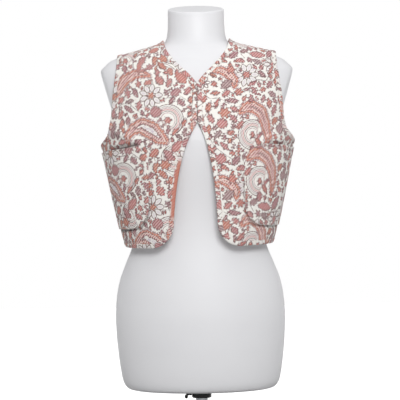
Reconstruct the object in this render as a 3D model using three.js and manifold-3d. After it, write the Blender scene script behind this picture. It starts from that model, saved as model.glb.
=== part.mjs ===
// A cropped vest on a limbless dress form with a short round stand.
// Millimetres, +Z up, the front faces -Y, and the origin is under the middle of the base plate.
// Heights in the tables are above the form's bottom edge. A turn is an angle round the upright
// axis: 0 at the centre front, a quarter turn at the side and a half turn at the centre back.
import * as THREE from "three";
import { mergeVertices } from "three/addons/utils/BufferGeometryUtils.js";
import Module from "manifold-3d";

const wasm = await Module();
wasm.setup();

// Driving dimensions
const STAND_RISE = 118;
const SEAM_GAP = 0.3;
const WALL = 1.4;
const LEAN = 0.015;
const QUARTER = Math.PI / 2;

// Dress form
const FORM_AROUND = 40;
const FORM_RING_STEP = 24;
const NECK_CAP = { height: 738.5, tilt: THREE.MathUtils.degToRad(14) };
const ARM_PLATE = { half: 186.5, height: 616, slope: 0.3, bottom: 482, forward: 0.09 };

// Cloth
const EASE = { up: 4.5, out: 1.3, depth: 3.5 };
const HEM = { front: 279, side: 282, back: 277 };
const ARMPIT_HEIGHT = 478.5;
const SHOULDER = { neck: 64, tip: 152 };
const V_BOTTOM = 587;
const HOOK_POINT = 512;
const CORNER = { across: 42, up: 46 };
const BINDING = { width: 8, thick: 0.8, gap: 0.6 };
const CLEARANCE = 0.25;
const POCKET = { thick: 1.2, gap: 0.8, bottom: 315, mouthSide: 463, mouthInner: 470, bulge: 2.6 };
const POCKET_ROUND = { bottom: 40, top: 30 };
const HOOK = { above: 14, thick: 0.7, tall: 6, reach: 9, meet: 3 };

// Stand
const FLANGE = { radius: 48, thick: 4 };
const COLLAR = { radius: 19, height: 14 };
const POLE_RADIUS = 12;
const BASE = { radius: 150, thick: 9, edge: 3 };
const BOSS = { radius: 22, height: 10 };
const SCREW = { radius: 3, reach: 30, grip: 18, gripRadius: 3.2, above: 4.2 };
const CHAMFER = { small: 1, large: 2 };
const TURNED_SIDES = 36;

// The form's level sections: half width, and how far it reaches to the front and to the back.
const FORM_LEVELS = [
  { height: 0, half: 134, front: 88, back: 100 },
  { height: 2, half: 141, front: 94, back: 107 },
  { height: 7, half: 147, front: 98, back: 112 },
  { height: 16, half: 152, front: 101, back: 116 },
  { height: 35, half: 156, front: 104, back: 120 },
  { height: 65, half: 160, front: 106.5, back: 124 },
  { height: 102, half: 163.5, front: 109, back: 127 },
  { height: 140, half: 165, front: 110, back: 127.5 },
  { height: 182, half: 162, front: 107, back: 121 },
  { height: 212, half: 156, front: 103, back: 112 },
  { height: 242, half: 145, front: 98, back: 100 },
  { height: 277, half: 131, front: 92, back: 88 },
  { height: 302, half: 125, front: 90, back: 82 },
  { height: 322, half: 122.5, front: 90, back: 80 },
  { height: 347, half: 124, front: 92, back: 80 },
  { height: 382, half: 131, front: 98, back: 83 },
  { height: 422, half: 140, front: 108, back: 89 },
  { height: 458, half: 146, front: 117, back: 94 },
  { height: 482, half: 147, front: 121, back: 97 },
  { height: 492, half: 151, front: 121, back: 98 },
  { height: 507, half: 162, front: 119, back: 99.5 },
  { height: 522, half: 173, front: 116.5, back: 101 },
  { height: 537, half: 181, front: 112.5, back: 102 },
  { height: 557, half: 187, front: 106.5, back: 102 },
  { height: 582, half: 191, front: 97.5, back: 100 },
  { height: 602, half: 193, front: 88.5, back: 96.5 },
  { height: 614, half: 191, front: 82, back: 93 },
  { height: 622, half: 186, front: 77.5, back: 90 },
  { height: 630, half: 178, front: 73, back: 86 },
  { height: 638, half: 169, front: 69, back: 82 },
  { height: 643.5, half: 157, front: 65.5, back: 77.5 },
  { height: 648.5, half: 139, front: 62.5, back: 73.5 },
  { height: 653.5, half: 119, front: 59.5, back: 70 },
  { height: 658.5, half: 99, front: 57, back: 66.5 },
  { height: 663, half: 83, front: 54.5, back: 63.5 },
  { height: 667.5, half: 69, front: 52.5, back: 61 },
  { height: 674.5, half: 61.5, front: 50.5, back: 58.5 },
  { height: 683.5, half: 57.5, front: 48.5, back: 56.5 },
  { height: 697, half: 55.5, front: 47, back: 55 },
  { height: 720, half: 54.6, front: 46, back: 54.5 },
  { height: 775, half: 54.6, front: 46, back: 54.5 },
];

// The cloth hangs free of the form up to here, and follows its shoulders above.
const HANGING_LEVELS = [
  { height: 262, half: 136, front: 117, back: 99.5 },
  { height: 277, half: 139.5, front: 118, back: 100 },
  { height: 292, half: 146, front: 119, back: 100.5 },
  { height: 316, half: 152, front: 120, back: 101 },
  { height: 351, half: 159, front: 121.5, back: 102 },
  { height: 406, half: 170, front: 123.5, back: 103 },
  { height: 444, half: 178, front: 125.5, back: 104 },
  { height: 479, half: 186.5, front: 126, back: 104.5 },
  { height: 500, half: 189.5, front: 124.5, back: 105 },
  { height: 522, half: 191, front: 121, back: 105.5 },
  { height: 552, half: 192.5, front: 111.5, back: 106 },
  { height: 579, half: 194.5, front: 102.5, back: 104.5 },
];
const FOLLOWS_FORM_FROM = 600;
const NECK_BASE = 700;
const VEST_LEVELS = [
  ...HANGING_LEVELS,
  ...FORM_LEVELS.filter((level) => level.height > FOLLOWS_FORM_FROM).map((level) => ({
    height: level.height + EASE.up,
    half: level.half + EASE.out,
    front: level.front + EASE.depth,
    back: level.back + EASE.depth,
  })),
];

// The fronts part below the hook: how far each swings out, over what drop. The wearer's right
// front is at -X.
const FRONTS = [
  { name: "right", side: -1, swing: 52, drop: 82, pocketReach: 92, mouthReach: 110 },
  { name: "left", side: 1, swing: 37, drop: 72, pocketReach: 85, mouthReach: 122 },
];

// Neckline, front armhole, back armhole and back neck, as seen from the front: distance from
// the centre line and height. Each ends on the shoulder ridge or at the armpit.
const NECKLINE = [
  { across: 13.7, height: 602.4 },
  { across: 32.3, height: 621 },
  { across: 51.8, height: 643.6 },
  { across: 60.5, height: 660 },
];
const FRONT_ARMHOLE = [
  { across: 183.5, height: 481 },
  { across: 169.5, height: 497 },
  { across: 163.8, height: 519 },
  { across: 161.4, height: 548.5 },
  { across: 159, height: 575 },
  { across: 153.5, height: 615 },
  { across: 151.5, height: 638 },
];
const BACK_ARMHOLE = [
  { across: 183, height: 482 },
  { across: 167, height: 499 },
  { across: 156, height: 524 },
  { across: 150.5, height: 555 },
  { across: 149.5, height: 590 },
  { across: 151, height: 620 },
  { across: 151.5, height: 640 },
];
const BACK_NECK = [
  { across: 0, height: 658 },
  { across: 25, height: 659 },
  { across: 47, height: 663 },
  { across: 59, height: 669 },
];

// Largest folds as soft ridges on the cloth, as seen from the front or the back: the wearer's
// right is at minus across. Each runs from one end to the other and fades out sideways, and
// none lifts the side seams.
const SEAM_FADE = 25;
const FOLD_ENDS = { start: 0.15, span: 0.7 };
const FOLDS = [
  { on: "front", from: [-166, 512], to: [-104, 474], rise: 5, spread: 13 },
  { on: "front", from: [-74, 452], to: [-86, 300], rise: 3, spread: 20 },
  { on: "front", from: [118, 474], to: [176, 487], rise: 5, spread: 10 },
  { on: "front", from: [70, 440], to: [84, 300], rise: 3, spread: 18 },
  { on: "front", from: [150, 560], to: [112, 520], rise: 3, spread: 14 },
  { on: "back", from: [-62, 540], to: [-74, 290], rise: 4, spread: 20 },
  { on: "back", from: [48, 520], to: [66, 285], rise: 3.5, spread: 24 },
  { on: "back", from: [-150, 520], to: [-112, 420], rise: 3.5, spread: 16 },
  { on: "back", from: [152, 530], to: [120, 440], rise: 4, spread: 15 },
];

// Mesh steps: along the front edge's stretches, up the side seam, round the armhole and across.
const STEPS = { corner: 3, edge: 13, closure: 5, neckline: 10, side: 14, frontAcross: 11 };
const BACK_STEPS = { armhole: 15, neckHalf: 7, shoulder: 7 };
const POCKET_STEPS = { across: 8, up: 11 };

const PALETTE = {
  print: new THREE.MeshStandardMaterial({ color: 0xe3c8bc, roughness: 0.9, side: THREE.DoubleSide }),
  binding: new THREE.MeshStandardMaterial({ color: 0xd98d7c, roughness: 0.9 }),
  form: new THREE.MeshStandardMaterial({ color: 0xe9e9e8, roughness: 0.55 }),
  chrome: new THREE.MeshStandardMaterial({ color: 0xc9ccd0, roughness: 0.15, metalness: 1 }),
  black: new THREE.MeshStandardMaterial({ color: 0x17171a, roughness: 0.5, metalness: 0.3 }),
};

// Tables and curves

// One column of a table read at a height, as a curve that never overshoots its rows.
function read(levels, column, height) {
  const last = levels.length - 1;
  if (height <= levels[0].height) return levels[0][column];
  if (height >= levels[last].height) return levels[last][column];
  let k = 0;
  while (levels[k + 1].height < height) k += 1;
  const rise = (n) => levels[n + 1].height - levels[n].height;
  const secant = (n) => (levels[n + 1][column] - levels[n][column]) / rise(n);
  const slope = (n) => {
    if (n === 0) return secant(0);
    if (n === last) return secant(last - 1);
    const [before, after] = [secant(n - 1), secant(n)];
    return before * after <= 0 ? 0 : (2 * before * after) / (before + after);
  };
  const span = rise(k);
  const t = (height - levels[k].height) / span;
  const ends = (1 + 2 * t) * (1 - t) ** 2 * levels[k][column] + t * t * (3 - 2 * t) * levels[k + 1][column];
  return ends + span * (t * (1 - t) ** 2 * slope(k) - t * t * (1 - t) * slope(k + 1));
}

const vestHalf = (height) => read(VEST_LEVELS, "half", height);

// Height of the cloth's shoulder ridge at a distance from the centre line.
function ridgeHeight(across) {
  let [low, high] = [FOLLOWS_FORM_FROM, NECK_BASE];
  for (let k = 0; k < 50; k += 1) {
    const middle = (low + high) / 2;
    if (vestHalf(middle) > across) low = middle;
    else high = middle;
  }
  return low;
}

// A point on a level section at a turn, without lean.
function sectionPoint(levels, turn, height) {
  const depth = read(levels, Math.cos(turn) >= 0 ? "front" : "back", height);
  return new THREE.Vector3(
    read(levels, "half", height) * Math.sin(turn),
    -depth * Math.cos(turn),
    height,
  );
}

// How far the folds lift the cloth at a point.
function foldRise(point) {
  const on = point.y < 0 ? "front" : "back";
  return FOLDS.filter((fold) => fold.on === on).reduce((rise, fold) => {
    const run = new THREE.Vector2(fold.to[0] - fold.from[0], fold.to[1] - fold.from[1]);
    const way = new THREE.Vector2(point.x - fold.from[0], point.z - fold.from[1]);
    const share = THREE.MathUtils.clamp(way.dot(run) / run.lengthSq(), 0, 1);
    const away = way.addScaledVector(run, -share).length() / fold.spread;
    const fade = Math.min(1, Math.abs(point.y) / SEAM_FADE);
    const along = Math.sin(Math.PI * (FOLD_ENDS.start + FOLD_ENDS.span * share));
    return rise + fold.rise * fade * along * Math.exp(-away * away);
  }, 0);
}

// A point of the cloth's inner face with its outward normal. A spot is a turn and a height.
function clothSpot(spot) {
  const step = 0.5;
  const at = (turn, height) => sectionPoint(VEST_LEVELS, turn, height);
  const point = at(spot.turn, spot.height);
  const around = at(spot.turn + step / 100, spot.height).sub(at(spot.turn - step / 100, spot.height));
  const upward = at(spot.turn, spot.height + step).sub(at(spot.turn, spot.height - step));
  const normal = around.cross(upward).normalize();
  point.addScaledVector(normal, foldRise(point));
  point.z += LEAN * point.x + STAND_RISE;
  return { point, normal };
}

// The turn of a point seen from the front, kept short of the side by half a seam gap.
function turnAt(across, height) {
  const depth = read(VEST_LEVELS, "front", height);
  const limit = QUARTER - SEAM_GAP / 2 / depth;
  const sine = Math.min(1, across / vestHalf(height));
  return Math.min(Math.asin(sine), limit);
}

// A smooth curve through points seen from the front, cut into steps of equal length on the cloth.
function clothCurve(points, steps) {
  const curve = new THREE.CatmullRomCurve3(
    points.map((p) => new THREE.Vector3(p.across, p.height, 0)),
    false,
    "centripetal",
  );
  const fine = 240;
  const spots = curve.getPoints(fine).map((p) => ({ turn: turnAt(p.x, p.y), height: p.y }));
  return evenSteps(spots, steps);
}

// Spots along a line of spots, at equal steps along the cloth.
function evenSteps(spots, steps) {
  const lengths = [0];
  for (let k = 1; k < spots.length; k += 1) {
    const way = sectionPoint(VEST_LEVELS, spots[k].turn, spots[k].height);
    const before = sectionPoint(VEST_LEVELS, spots[k - 1].turn, spots[k - 1].height);
    lengths.push(lengths[k - 1] + way.distanceTo(before));
  }
  const total = lengths[lengths.length - 1];
  return Array.from({ length: steps + 1 }, (_, n) => {
    const wanted = (total * n) / steps;
    let k = 0;
    while (k < spots.length - 2 && lengths[k + 1] < wanted) k += 1;
    const share = (wanted - lengths[k]) / (lengths[k + 1] - lengths[k]);
    return mixSpots(spots[k], spots[k + 1], share);
  });
}

function mixSpots(a, b, share) {
  return {
    turn: THREE.MathUtils.lerp(a.turn, b.turn, share),
    height: THREE.MathUtils.lerp(a.height, b.height, share),
  };
}

// Lines joined end to end, without the doubled ends.
const chained = (...lines) => lines.flatMap((line, n) => (n ? line.slice(1) : line));

// Solids

// A closed solid's geometry from points and faces of point numbers, turned to face out.
function closedGeometry(points, faces) {
  const volume = faces.reduce((sum, [a, b, c]) => {
    return sum + points[a].dot(points[b].clone().cross(points[c]));
  }, 0);
  const outward = volume < 0 ? faces.map(([a, b, c]) => [a, c, b]) : faces;
  const geometry = new THREE.BufferGeometry();
  geometry.setFromPoints(points);
  geometry.setIndex(outward.flat());
  geometry.computeVertexNormals();
  return geometry;
}

// Two triangles over four corners that follow each other round.
const quad = (a, b, c, d) => [
  [a, b, c],
  [a, c, d],
];

// A wall between two offsets from a grid of cloth spots. The offsets are functions of the
// column and row, so that a wall may bulge.
function wallGeometry(grid, innerOffset, outerOffset) {
  const rows = grid.length;
  const columns = grid[0].length;
  const moved = (cell, distance) => cell.point.clone().addScaledVector(cell.normal, distance);
  const face = (offset) => grid.flatMap((row, j) => row.map((cell, i) => moved(cell, offset(i, j))));
  const points = [...face(innerOffset), ...face(outerOffset)];
  const inner = (i, j) => j * columns + i;
  const outer = (i, j) => rows * columns + inner(i, j);
  const faces = [];
  for (let j = 0; j < rows - 1; j += 1) {
    for (let i = 0; i < columns - 1; i += 1) {
      faces.push(...quad(outer(i, j), outer(i + 1, j), outer(i + 1, j + 1), outer(i, j + 1)));
      faces.push(...quad(inner(i, j), inner(i, j + 1), inner(i + 1, j + 1), inner(i + 1, j)));
    }
    faces.push(...quad(inner(0, j), outer(0, j), outer(0, j + 1), inner(0, j + 1)));
    const i = columns - 1;
    faces.push(...quad(outer(i, j), inner(i, j), inner(i, j + 1), outer(i, j + 1)));
  }
  for (let i = 0; i < columns - 1; i += 1) {
    faces.push(...quad(outer(i, 0), inner(i, 0), inner(i + 1, 0), outer(i + 1, 0)));
    const j = rows - 1;
    faces.push(...quad(inner(i, j), outer(i, j), outer(i + 1, j), inner(i + 1, j)));
  }
  return closedGeometry(points, faces);
}

// A strip with the same many-sided section at each station, closed in a ring or capped.
function stripGeometry(sections, ring) {
  const sides = sections[0].length;
  const points = sections.flat();
  const at = (station, side) => (station % sections.length) * sides + (side % sides);
  const faces = [];
  const stations = ring ? sections.length : sections.length - 1;
  for (let k = 0; k < stations; k += 1) {
    for (let s = 0; s < sides; s += 1) {
      faces.push(...quad(at(k, s), at(k, s + 1), at(k + 1, s + 1), at(k + 1, s)));
    }
  }
  if (!ring) {
    const legs = [[0, 1, 6, 7], [1, 2, 5, 6], [2, 3, 4, 5]];
    const end = sections.length - 1;
    for (const [a, b, c, d] of legs) {
      faces.push(...quad(at(0, a), at(0, d), at(0, c), at(0, b)));
      faces.push(...quad(at(end, a), at(end, b), at(end, c), at(end, d)));
    }
  }
  return closedGeometry(points, faces);
}

function withoutExtras(geometry) {
  const bare = geometry.clone();
  bare.deleteAttribute("normal");
  bare.deleteAttribute("uv");
  return bare;
}

// A geometry as a solid that can be cut, and back.
function solidOf(geometry) {
  const merged = mergeVertices(withoutExtras(geometry), 1e-4);
  return new wasm.Manifold(
    new wasm.Mesh({
      numProp: 3,
      vertProperties: new Float32Array(merged.attributes.position.array),
      triVerts: new Uint32Array(merged.index.array),
    }),
  );
}

function geometryOf(solid) {
  const mesh = solid.getMesh();
  const geometry = new THREE.BufferGeometry();
  geometry.setAttribute("position", new THREE.BufferAttribute(new Float32Array(mesh.vertProperties), 3));
  geometry.setIndex(new THREE.BufferAttribute(new Uint32Array(mesh.triVerts), 1));
  geometry.computeVertexNormals();
  return geometry;
}

function meshOf(name, geometry, material) {
  const mesh = new THREE.Mesh(geometry, material);
  mesh.name = name;
  return mesh;
}

// Dress form

// Heights of the form's rings: each table row, with rows between where two lie far apart.
function ringHeights() {
  return FORM_LEVELS.flatMap((level, n) => {
    const next = FORM_LEVELS[n + 1];
    if (!next) return [level.height];
    const parts = Math.max(1, Math.round((next.height - level.height) / FORM_RING_STEP));
    return Array.from({ length: parts }, (_, k) =>
      THREE.MathUtils.lerp(level.height, next.height, k / parts),
    );
  });
}

function formGeometry() {
  const heights = ringHeights();
  const points = heights.flatMap((height) =>
    Array.from({ length: FORM_AROUND }, (_, k) =>
      sectionPoint(FORM_LEVELS, (2 * Math.PI * k) / FORM_AROUND, height),
    ),
  );
  const top = heights.length - 1;
  const at = (ring, k) => ring * FORM_AROUND + (k % FORM_AROUND);
  const faces = [];
  for (let k = 0; k < FORM_AROUND; k += 1) {
    for (let ring = 0; ring < top; ring += 1) {
      faces.push(...quad(at(ring, k), at(ring, k + 1), at(ring + 1, k + 1), at(ring + 1, k)));
    }
    faces.push([points.length, at(0, k + 1), at(0, k)]);
    faces.push([points.length + 1, at(top, k), at(top, k + 1)]);
  }
  points.push(new THREE.Vector3(0, 0, heights[0]));
  points.push(new THREE.Vector3(0, 0, heights[top]));
  return closedGeometry(points, faces);
}

// A block whose lower or inner face cuts the form: the neck's tilted cap and the arm plates.
const CUTTER = 300;

function neckCutter() {
  const block = new THREE.BoxGeometry(CUTTER, CUTTER, CUTTER).translate(0, 0, CUTTER / 2);
  block.rotateX(NECK_CAP.tilt);
  return solidOf(block.translate(0, 0, NECK_CAP.height));
}

function armCutter(side) {
  const block = new THREE.BoxGeometry(CUTTER, CUTTER, CUTTER).translate(CUTTER / 2, 0, 0);
  block.rotateY(Math.atan(ARM_PLATE.slope));
  block.rotateZ(-ARM_PLATE.forward);
  block.translate(ARM_PLATE.half, 0, ARM_PLATE.height);
  if (side < 0) block.rotateZ(Math.PI).scale(1, -1, 1);
  const cutter = side < 0 ? flipped(block) : block;
  const above = new THREE.BoxGeometry(2 * CUTTER, CUTTER, CUTTER);
  above.translate(0, 0, ARM_PLATE.bottom + CUTTER / 2);
  return solidOf(cutter).intersect(solidOf(above));
}

// A mirrored geometry with its faces turned back to face out.
function flipped(geometry) {
  const bare = mergeVertices(withoutExtras(geometry), 1e-4);
  const index = Array.from(bare.index.array);
  for (let k = 0; k < index.length; k += 3) [index[k + 1], index[k + 2]] = [index[k + 2], index[k + 1]];
  bare.setIndex(index);
  return bare;
}

function makeForm() {
  const shaped = [-1, 1].reduce(
    (solid, side) => solid.subtract(armCutter(side)),
    solidOf(formGeometry()).subtract(neckCutter()),
  );
  const mesh = meshOf("dress_form", geometryOf(shaped), PALETTE.form);
  mesh.position.z = STAND_RISE;
  return mesh;
}

// Cloth grids

const clothGrid = (spots) => spots.map((row) => row.map(clothSpot));

// The side of the vest that a front is on, as a sign on every turn.
const onSide = (spots, side) => spots.map((row) => row.map((spot) => ({ ...spot, turn: spot.turn * side })));

// Closed edge at the centre front: half the gap and the binding that wraps it.
const CLOSED_EDGE = SEAM_GAP / 2 + BINDING.thick + BINDING.gap;

function frontEdgeAcross(front, height) {
  const below = Math.max(0, HOOK_POINT - height);
  return CLOSED_EDGE + front.swing * (1 - Math.exp(-below / front.drop));
}

// The rounded lower corner, from the front edge at 0 to the hem at a quarter turn.
function cornerPoint(front, angle) {
  const top = HEM.front + CORNER.up;
  return {
    across: frontEdgeAcross(front, top) + CORNER.across * (1 - Math.cos(angle)),
    height: top - CORNER.up * Math.sin(angle),
  };
}

function range(steps, valueAt) {
  return Array.from({ length: steps + 1 }, (_, n) => valueAt(n / steps));
}

const asSpot = ({ across, height }) => ({ turn: turnAt(across, height), height });

// A front's centre edge, from the middle of the rounded corner up to the shoulder seam.
function frontEdgeLine(front) {
  const cornerTop = HEM.front + CORNER.up;
  const corner = range(STEPS.corner, (t) => cornerPoint(front, (QUARTER / 2) * (1 - t)));
  const opening = range(STEPS.edge, (t) => {
    const height = THREE.MathUtils.lerp(cornerTop, HOOK_POINT, t);
    return { across: frontEdgeAcross(front, height), height };
  });
  const closed = range(STEPS.closure, (t) => ({
    across: CLOSED_EDGE,
    height: THREE.MathUtils.lerp(HOOK_POINT, V_BOTTOM, t),
  }));
  const neckPoint = { across: SHOULDER.neck, height: ridgeHeight(SHOULDER.neck) };
  const neckline = clothCurve(
    [{ across: CLOSED_EDGE, height: V_BOTTOM }, ...NECKLINE, neckPoint],
    STEPS.neckline,
  );
  return chained(corner.map(asSpot), opening.map(asSpot), closed.map(asSpot), neckline);
}

// A side seam and an armhole edge, from the hem up to the shoulder tip.
function sideLine(armhole, armholeSteps) {
  const seam = range(STEPS.side, (t) => {
    const height = THREE.MathUtils.lerp(HEM.side, ARMPIT_HEIGHT, t);
    return { turn: turnAt(Infinity, height), height };
  });
  const armpit = { across: vestHalf(ARMPIT_HEIGHT), height: ARMPIT_HEIGHT };
  const tip = { across: SHOULDER.tip, height: ridgeHeight(SHOULDER.tip) };
  return chained(seam, clothCurve([armpit, ...armhole, tip], armholeSteps));
}

// A front's hem, from the middle of the rounded corner to the side seam.
function frontHemLine(front) {
  const fine = 60;
  const corner = range(fine, (t) => cornerPoint(front, (QUARTER / 2) * (1 + t)));
  const start = corner[fine];
  const end = { across: vestHalf(HEM.side), height: HEM.side };
  const hem = range(fine, (t) => {
    const turn = THREE.MathUtils.lerp(turnAt(start.across, start.height), turnAt(end.across, end.height), t);
    return { turn, height: THREE.MathUtils.lerp(start.height, end.height, t * t) };
  });
  return evenSteps(chained(corner.map(asSpot), hem), STEPS.frontAcross);
}

function frontSpots(front) {
  const edge = frontEdgeLine(front);
  const rows = edge.length - 1;
  const side = sideLine(FRONT_ARMHOLE, rows - STEPS.side);
  const hem = frontHemLine(front);
  const last = hem.length - 1;
  const hemRows = 6;
  return edge.map((start, j) => {
    const pull = Math.max(0, 1 - j / hemRows) ** 2;
    return hem.map((low, i) => {
      const plain = mixSpots(start, side[j], i / last);
      const straight = mixSpots(hem[0], hem[last], i / last);
      return {
        turn: plain.turn + pull * (low.turn - straight.turn),
        height: plain.height + pull * (low.height - straight.height),
      };
    });
  });
}

// Half of the back's top edge, from the centre back to the shoulder tip, seen from the front.
function backTopLine() {
  const neckPoint = { across: SHOULDER.neck, height: ridgeHeight(SHOULDER.neck) };
  const neck = clothCurve([...BACK_NECK, neckPoint], BACK_STEPS.neckHalf);
  const shoulder = range(BACK_STEPS.shoulder, (t) => {
    const across = THREE.MathUtils.lerp(SHOULDER.neck, SHOULDER.tip, t);
    return { turn: turnAt(across, ridgeHeight(across)), height: ridgeHeight(across) };
  });
  return chained(neck, shoulder);
}

// The back, with turns as on the front, from the centre back outwards on one side. Just above
// the armpit its rows climb evenly, and bend down to the armhole only near it.
function backHalfSpots() {
  const side = sideLine(BACK_ARMHOLE, BACK_STEPS.armhole);
  const top = backTopLine();
  const tip = top[top.length - 1];
  const last = top.length - 1;
  return side.map((end, j) => {
    const climb = Math.max(0, (j - STEPS.side) / BACK_STEPS.armhole);
    const even = climb > 0 ? THREE.MathUtils.lerp(ARMPIT_HEIGHT, tip.height, climb) : end.height;
    const atHem = (1 - j / (side.length - 1)) ** 4;
    return top.map((peak, i) => {
      if (j === side.length - 1) return peak;
      const share = i / last;
      const level = THREE.MathUtils.lerp(end.height, even, (1 - share ** 2) * (1 - climb ** 2));
      const sag = atHem * (HEM.side - HEM.back) * (1 - share ** 2);
      const height = level + climb ** 1.5 * (peak.height - tip.height) - sag;
      const wide = vestHalf(end.height) * Math.sin(end.turn);
      const hanging = vestHalf(height) * Math.sin(end.turn * share);
      const shaped = (wide * vestHalf(peak.height) * Math.sin(peak.turn)) / SHOULDER.tip;
      const across = THREE.MathUtils.lerp(hanging, shaped, THREE.MathUtils.smoothstep(climb, 0, 1));
      return { turn: i === last ? end.turn : turnAt(across, height), height };
    });
  });
}

// The whole back, from the side at +X round to the side at -X.
function backSpots() {
  return backHalfSpots().map((row) => {
    const right = row.map((spot) => ({ ...spot, turn: Math.PI - spot.turn })).reverse();
    const left = row.slice(1).map((spot) => ({ ...spot, turn: Math.PI + spot.turn }));
    return [...right, ...left];
  });
}

// Bindings

// The spot a binding's width in from the edge at station k, square to the edge. The line runs
// with the cloth on its left, seen from outside. On a seam it stays on the seam.
function insetSpot(line, k, ring) {
  const count = line.length;
  const before = ring ? line[(k + count - 1) % count] : line[Math.max(0, k - 1)];
  const after = ring ? line[(k + 1) % count] : line[Math.min(count - 1, k + 1)];
  const spot = line[k];
  const { point, normal } = clothSpot(spot);
  const along = clothSpot(after).point.sub(clothSpot(before).point);
  const inward = normal.clone().cross(along).setLength(BINDING.width);
  const at = (turn, height) => sectionPoint(VEST_LEVELS, spot.turn + turn, spot.height + height);
  const [turnStride, heightStride] = [0.005, 0.25];
  const perTurn = at(turnStride, 0).sub(at(-turnStride, 0)).divideScalar(2 * turnStride);
  const perHeight = at(0, heightStride).sub(at(0, -heightStride)).divideScalar(2 * heightStride);
  const [tt, th, hh] = [perTurn.lengthSq(), perTurn.dot(perHeight), perHeight.lengthSq()];
  const [wantTurn, wantHeight] = [inward.dot(perTurn), inward.dot(perHeight)];
  const area = tt * hh - th * th;
  const onSeam = Math.abs(Math.cos(spot.turn)) < 0.01;
  let turnStep = onSeam ? 0 : (wantTurn * hh - wantHeight * th) / area;
  let heightStep = onSeam ? wantHeight / hh : (wantHeight * tt - wantTurn * th) / area;
  for (let n = 0; n < 4; n += 1) {
    const there = clothSpot({ turn: spot.turn + turnStep, height: spot.height + heightStep }).point;
    const scale = BINDING.width / there.distanceTo(point);
    turnStep *= scale;
    heightStep *= scale;
  }
  return { turn: spot.turn + turnStep, height: spot.height + heightStep };
}

// A folded strip that wraps the edge of the cloth: eight corners at each station.
function bindingGeometry(line, ring = false) {
  const near = BINDING.gap;
  const far = BINDING.gap + BINDING.thick;
  const sections = line.map((spot, k) => {
    const edge = clothSpot(spot);
    const inset = clothSpot(insetSpot(line, k, ring));
    const away = edge.point.clone().sub(inset.point).normalize();
    const corner = (out, lift) =>
      edge.point.clone().addScaledVector(away, out).addScaledVector(edge.normal, lift);
    const inside = (lift) => inset.point.clone().addScaledVector(inset.normal, lift);
    return [
      inside(WALL + far),
      corner(far, WALL + far),
      corner(far, -far),
      inside(-far),
      inside(-near),
      corner(near, -near),
      corner(near, WALL + near),
      inside(WALL + near),
    ];
  });
  return stripGeometry(sections, ring);
}

// A solid cut clear of walls of cloth, by a gap on each face.
function clearOf(geometry, grids) {
  const cut = grids.reduce((solid, grid) => {
    const grown = wallGeometry(grid, () => -CLEARANCE, () => WALL + CLEARANCE);
    return solid.subtract(solidOf(grown));
  }, solidOf(geometry));
  return geometryOf(cut);
}

// The free edge of a front, from the shoulder down and round the corner to the side seam.
function frontEdgeRun(spots) {
  const down = spots.map((row) => row[0]).reverse();
  return chained(down, spots[0]);
}

// An armhole's edge, up the front and down the back, as a ring.
function armholeRun(front, back, backColumn) {
  const up = front.slice(STEPS.side).map((row) => row[row.length - 1]);
  const down = back.slice(STEPS.side + 1, -1).map((row) => row[backColumn]).reverse();
  return [...up, ...down];
}

function backNeckRun(spots) {
  const middle = (spots[0].length - 1) / 2;
  return spots[spots.length - 1].slice(middle - BACK_STEPS.neckHalf, middle + BACK_STEPS.neckHalf + 1);
}

// Pockets

// How far in from the centre line the pocket's inner edge lies at a height, seen from the front.
function pocketInnerEdge(front, height) {
  const up = Math.min(1, (height - POCKET.bottom) / POCKET_ROUND.bottom);
  const down = Math.min(1, (POCKET.mouthInner - height) / POCKET_ROUND.top);
  const low = 1 - Math.sqrt(1 - (1 - up) ** 2);
  const high = (1 - down) ** 2;
  return front.pocketReach + POCKET_ROUND.bottom * low + (front.mouthReach - front.pocketReach) * high;
}

function pocketSpots(front) {
  const { across, up } = POCKET_STEPS;
  return range(up, (rowShare) => {
    const eased = Math.sin(QUARTER * rowShare) ** 2 * 0.35 + rowShare * 0.65;
    const level = THREE.MathUtils.lerp(POCKET.bottom, POCKET.mouthInner, eased);
    const inner = pocketInnerEdge(front, level);
    const start = turnAt(inner, level);
    const end = turnAt(Infinity, level);
    return range(across, (t) => {
      const slant = (POCKET.mouthInner - POCKET.mouthSide) * t * eased ** 3;
      return { turn: THREE.MathUtils.lerp(start, end, t), height: level - slant };
    });
  });
}

function pocketGeometry(front) {
  const grid = clothGrid(onSide(pocketSpots(front), front.side));
  const { across, up } = POCKET_STEPS;
  const bulge = (i, j) =>
    POCKET.bulge * Math.sin((Math.PI * i) / across) * Math.sin(QUARTER * (j / up)) ** 0.8;
  const inner = (i, j) => WALL + POCKET.gap + bulge(i, j);
  return wallGeometry(grid, inner, (i, j) => inner(i, j) + POCKET.thick);
}

// Hook and eye behind the closed edge

function hookGeometry(from, to) {
  const { thick, tall } = HOOK;
  const height = HOOK_POINT + HOOK.above;
  const depthAt = (level) => read(VEST_LEVELS, "front", level);
  const slope = (depthAt(height - tall) - depthAt(height + tall)) / (2 * tall);
  const clearance = BINDING.gap + BINDING.thick + 2 * SEAM_GAP;
  const plate = new THREE.BoxGeometry(to - from, thick, tall);
  plate.translate((from + to) / 2, clearance + thick / 2, 0);
  plate.rotateX(-Math.atan(slope));
  return plate.translate(0, -depthAt(height), height + STAND_RISE);
}

// Stand

function turned(name, profile, material) {
  const points = profile.map(([radius, height]) => new THREE.Vector2(radius, height));
  const mesh = meshOf(name, new THREE.LatheGeometry(points, TURNED_SIDES), material);
  mesh.rotation.x = QUARTER;
  return mesh;
}

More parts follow.
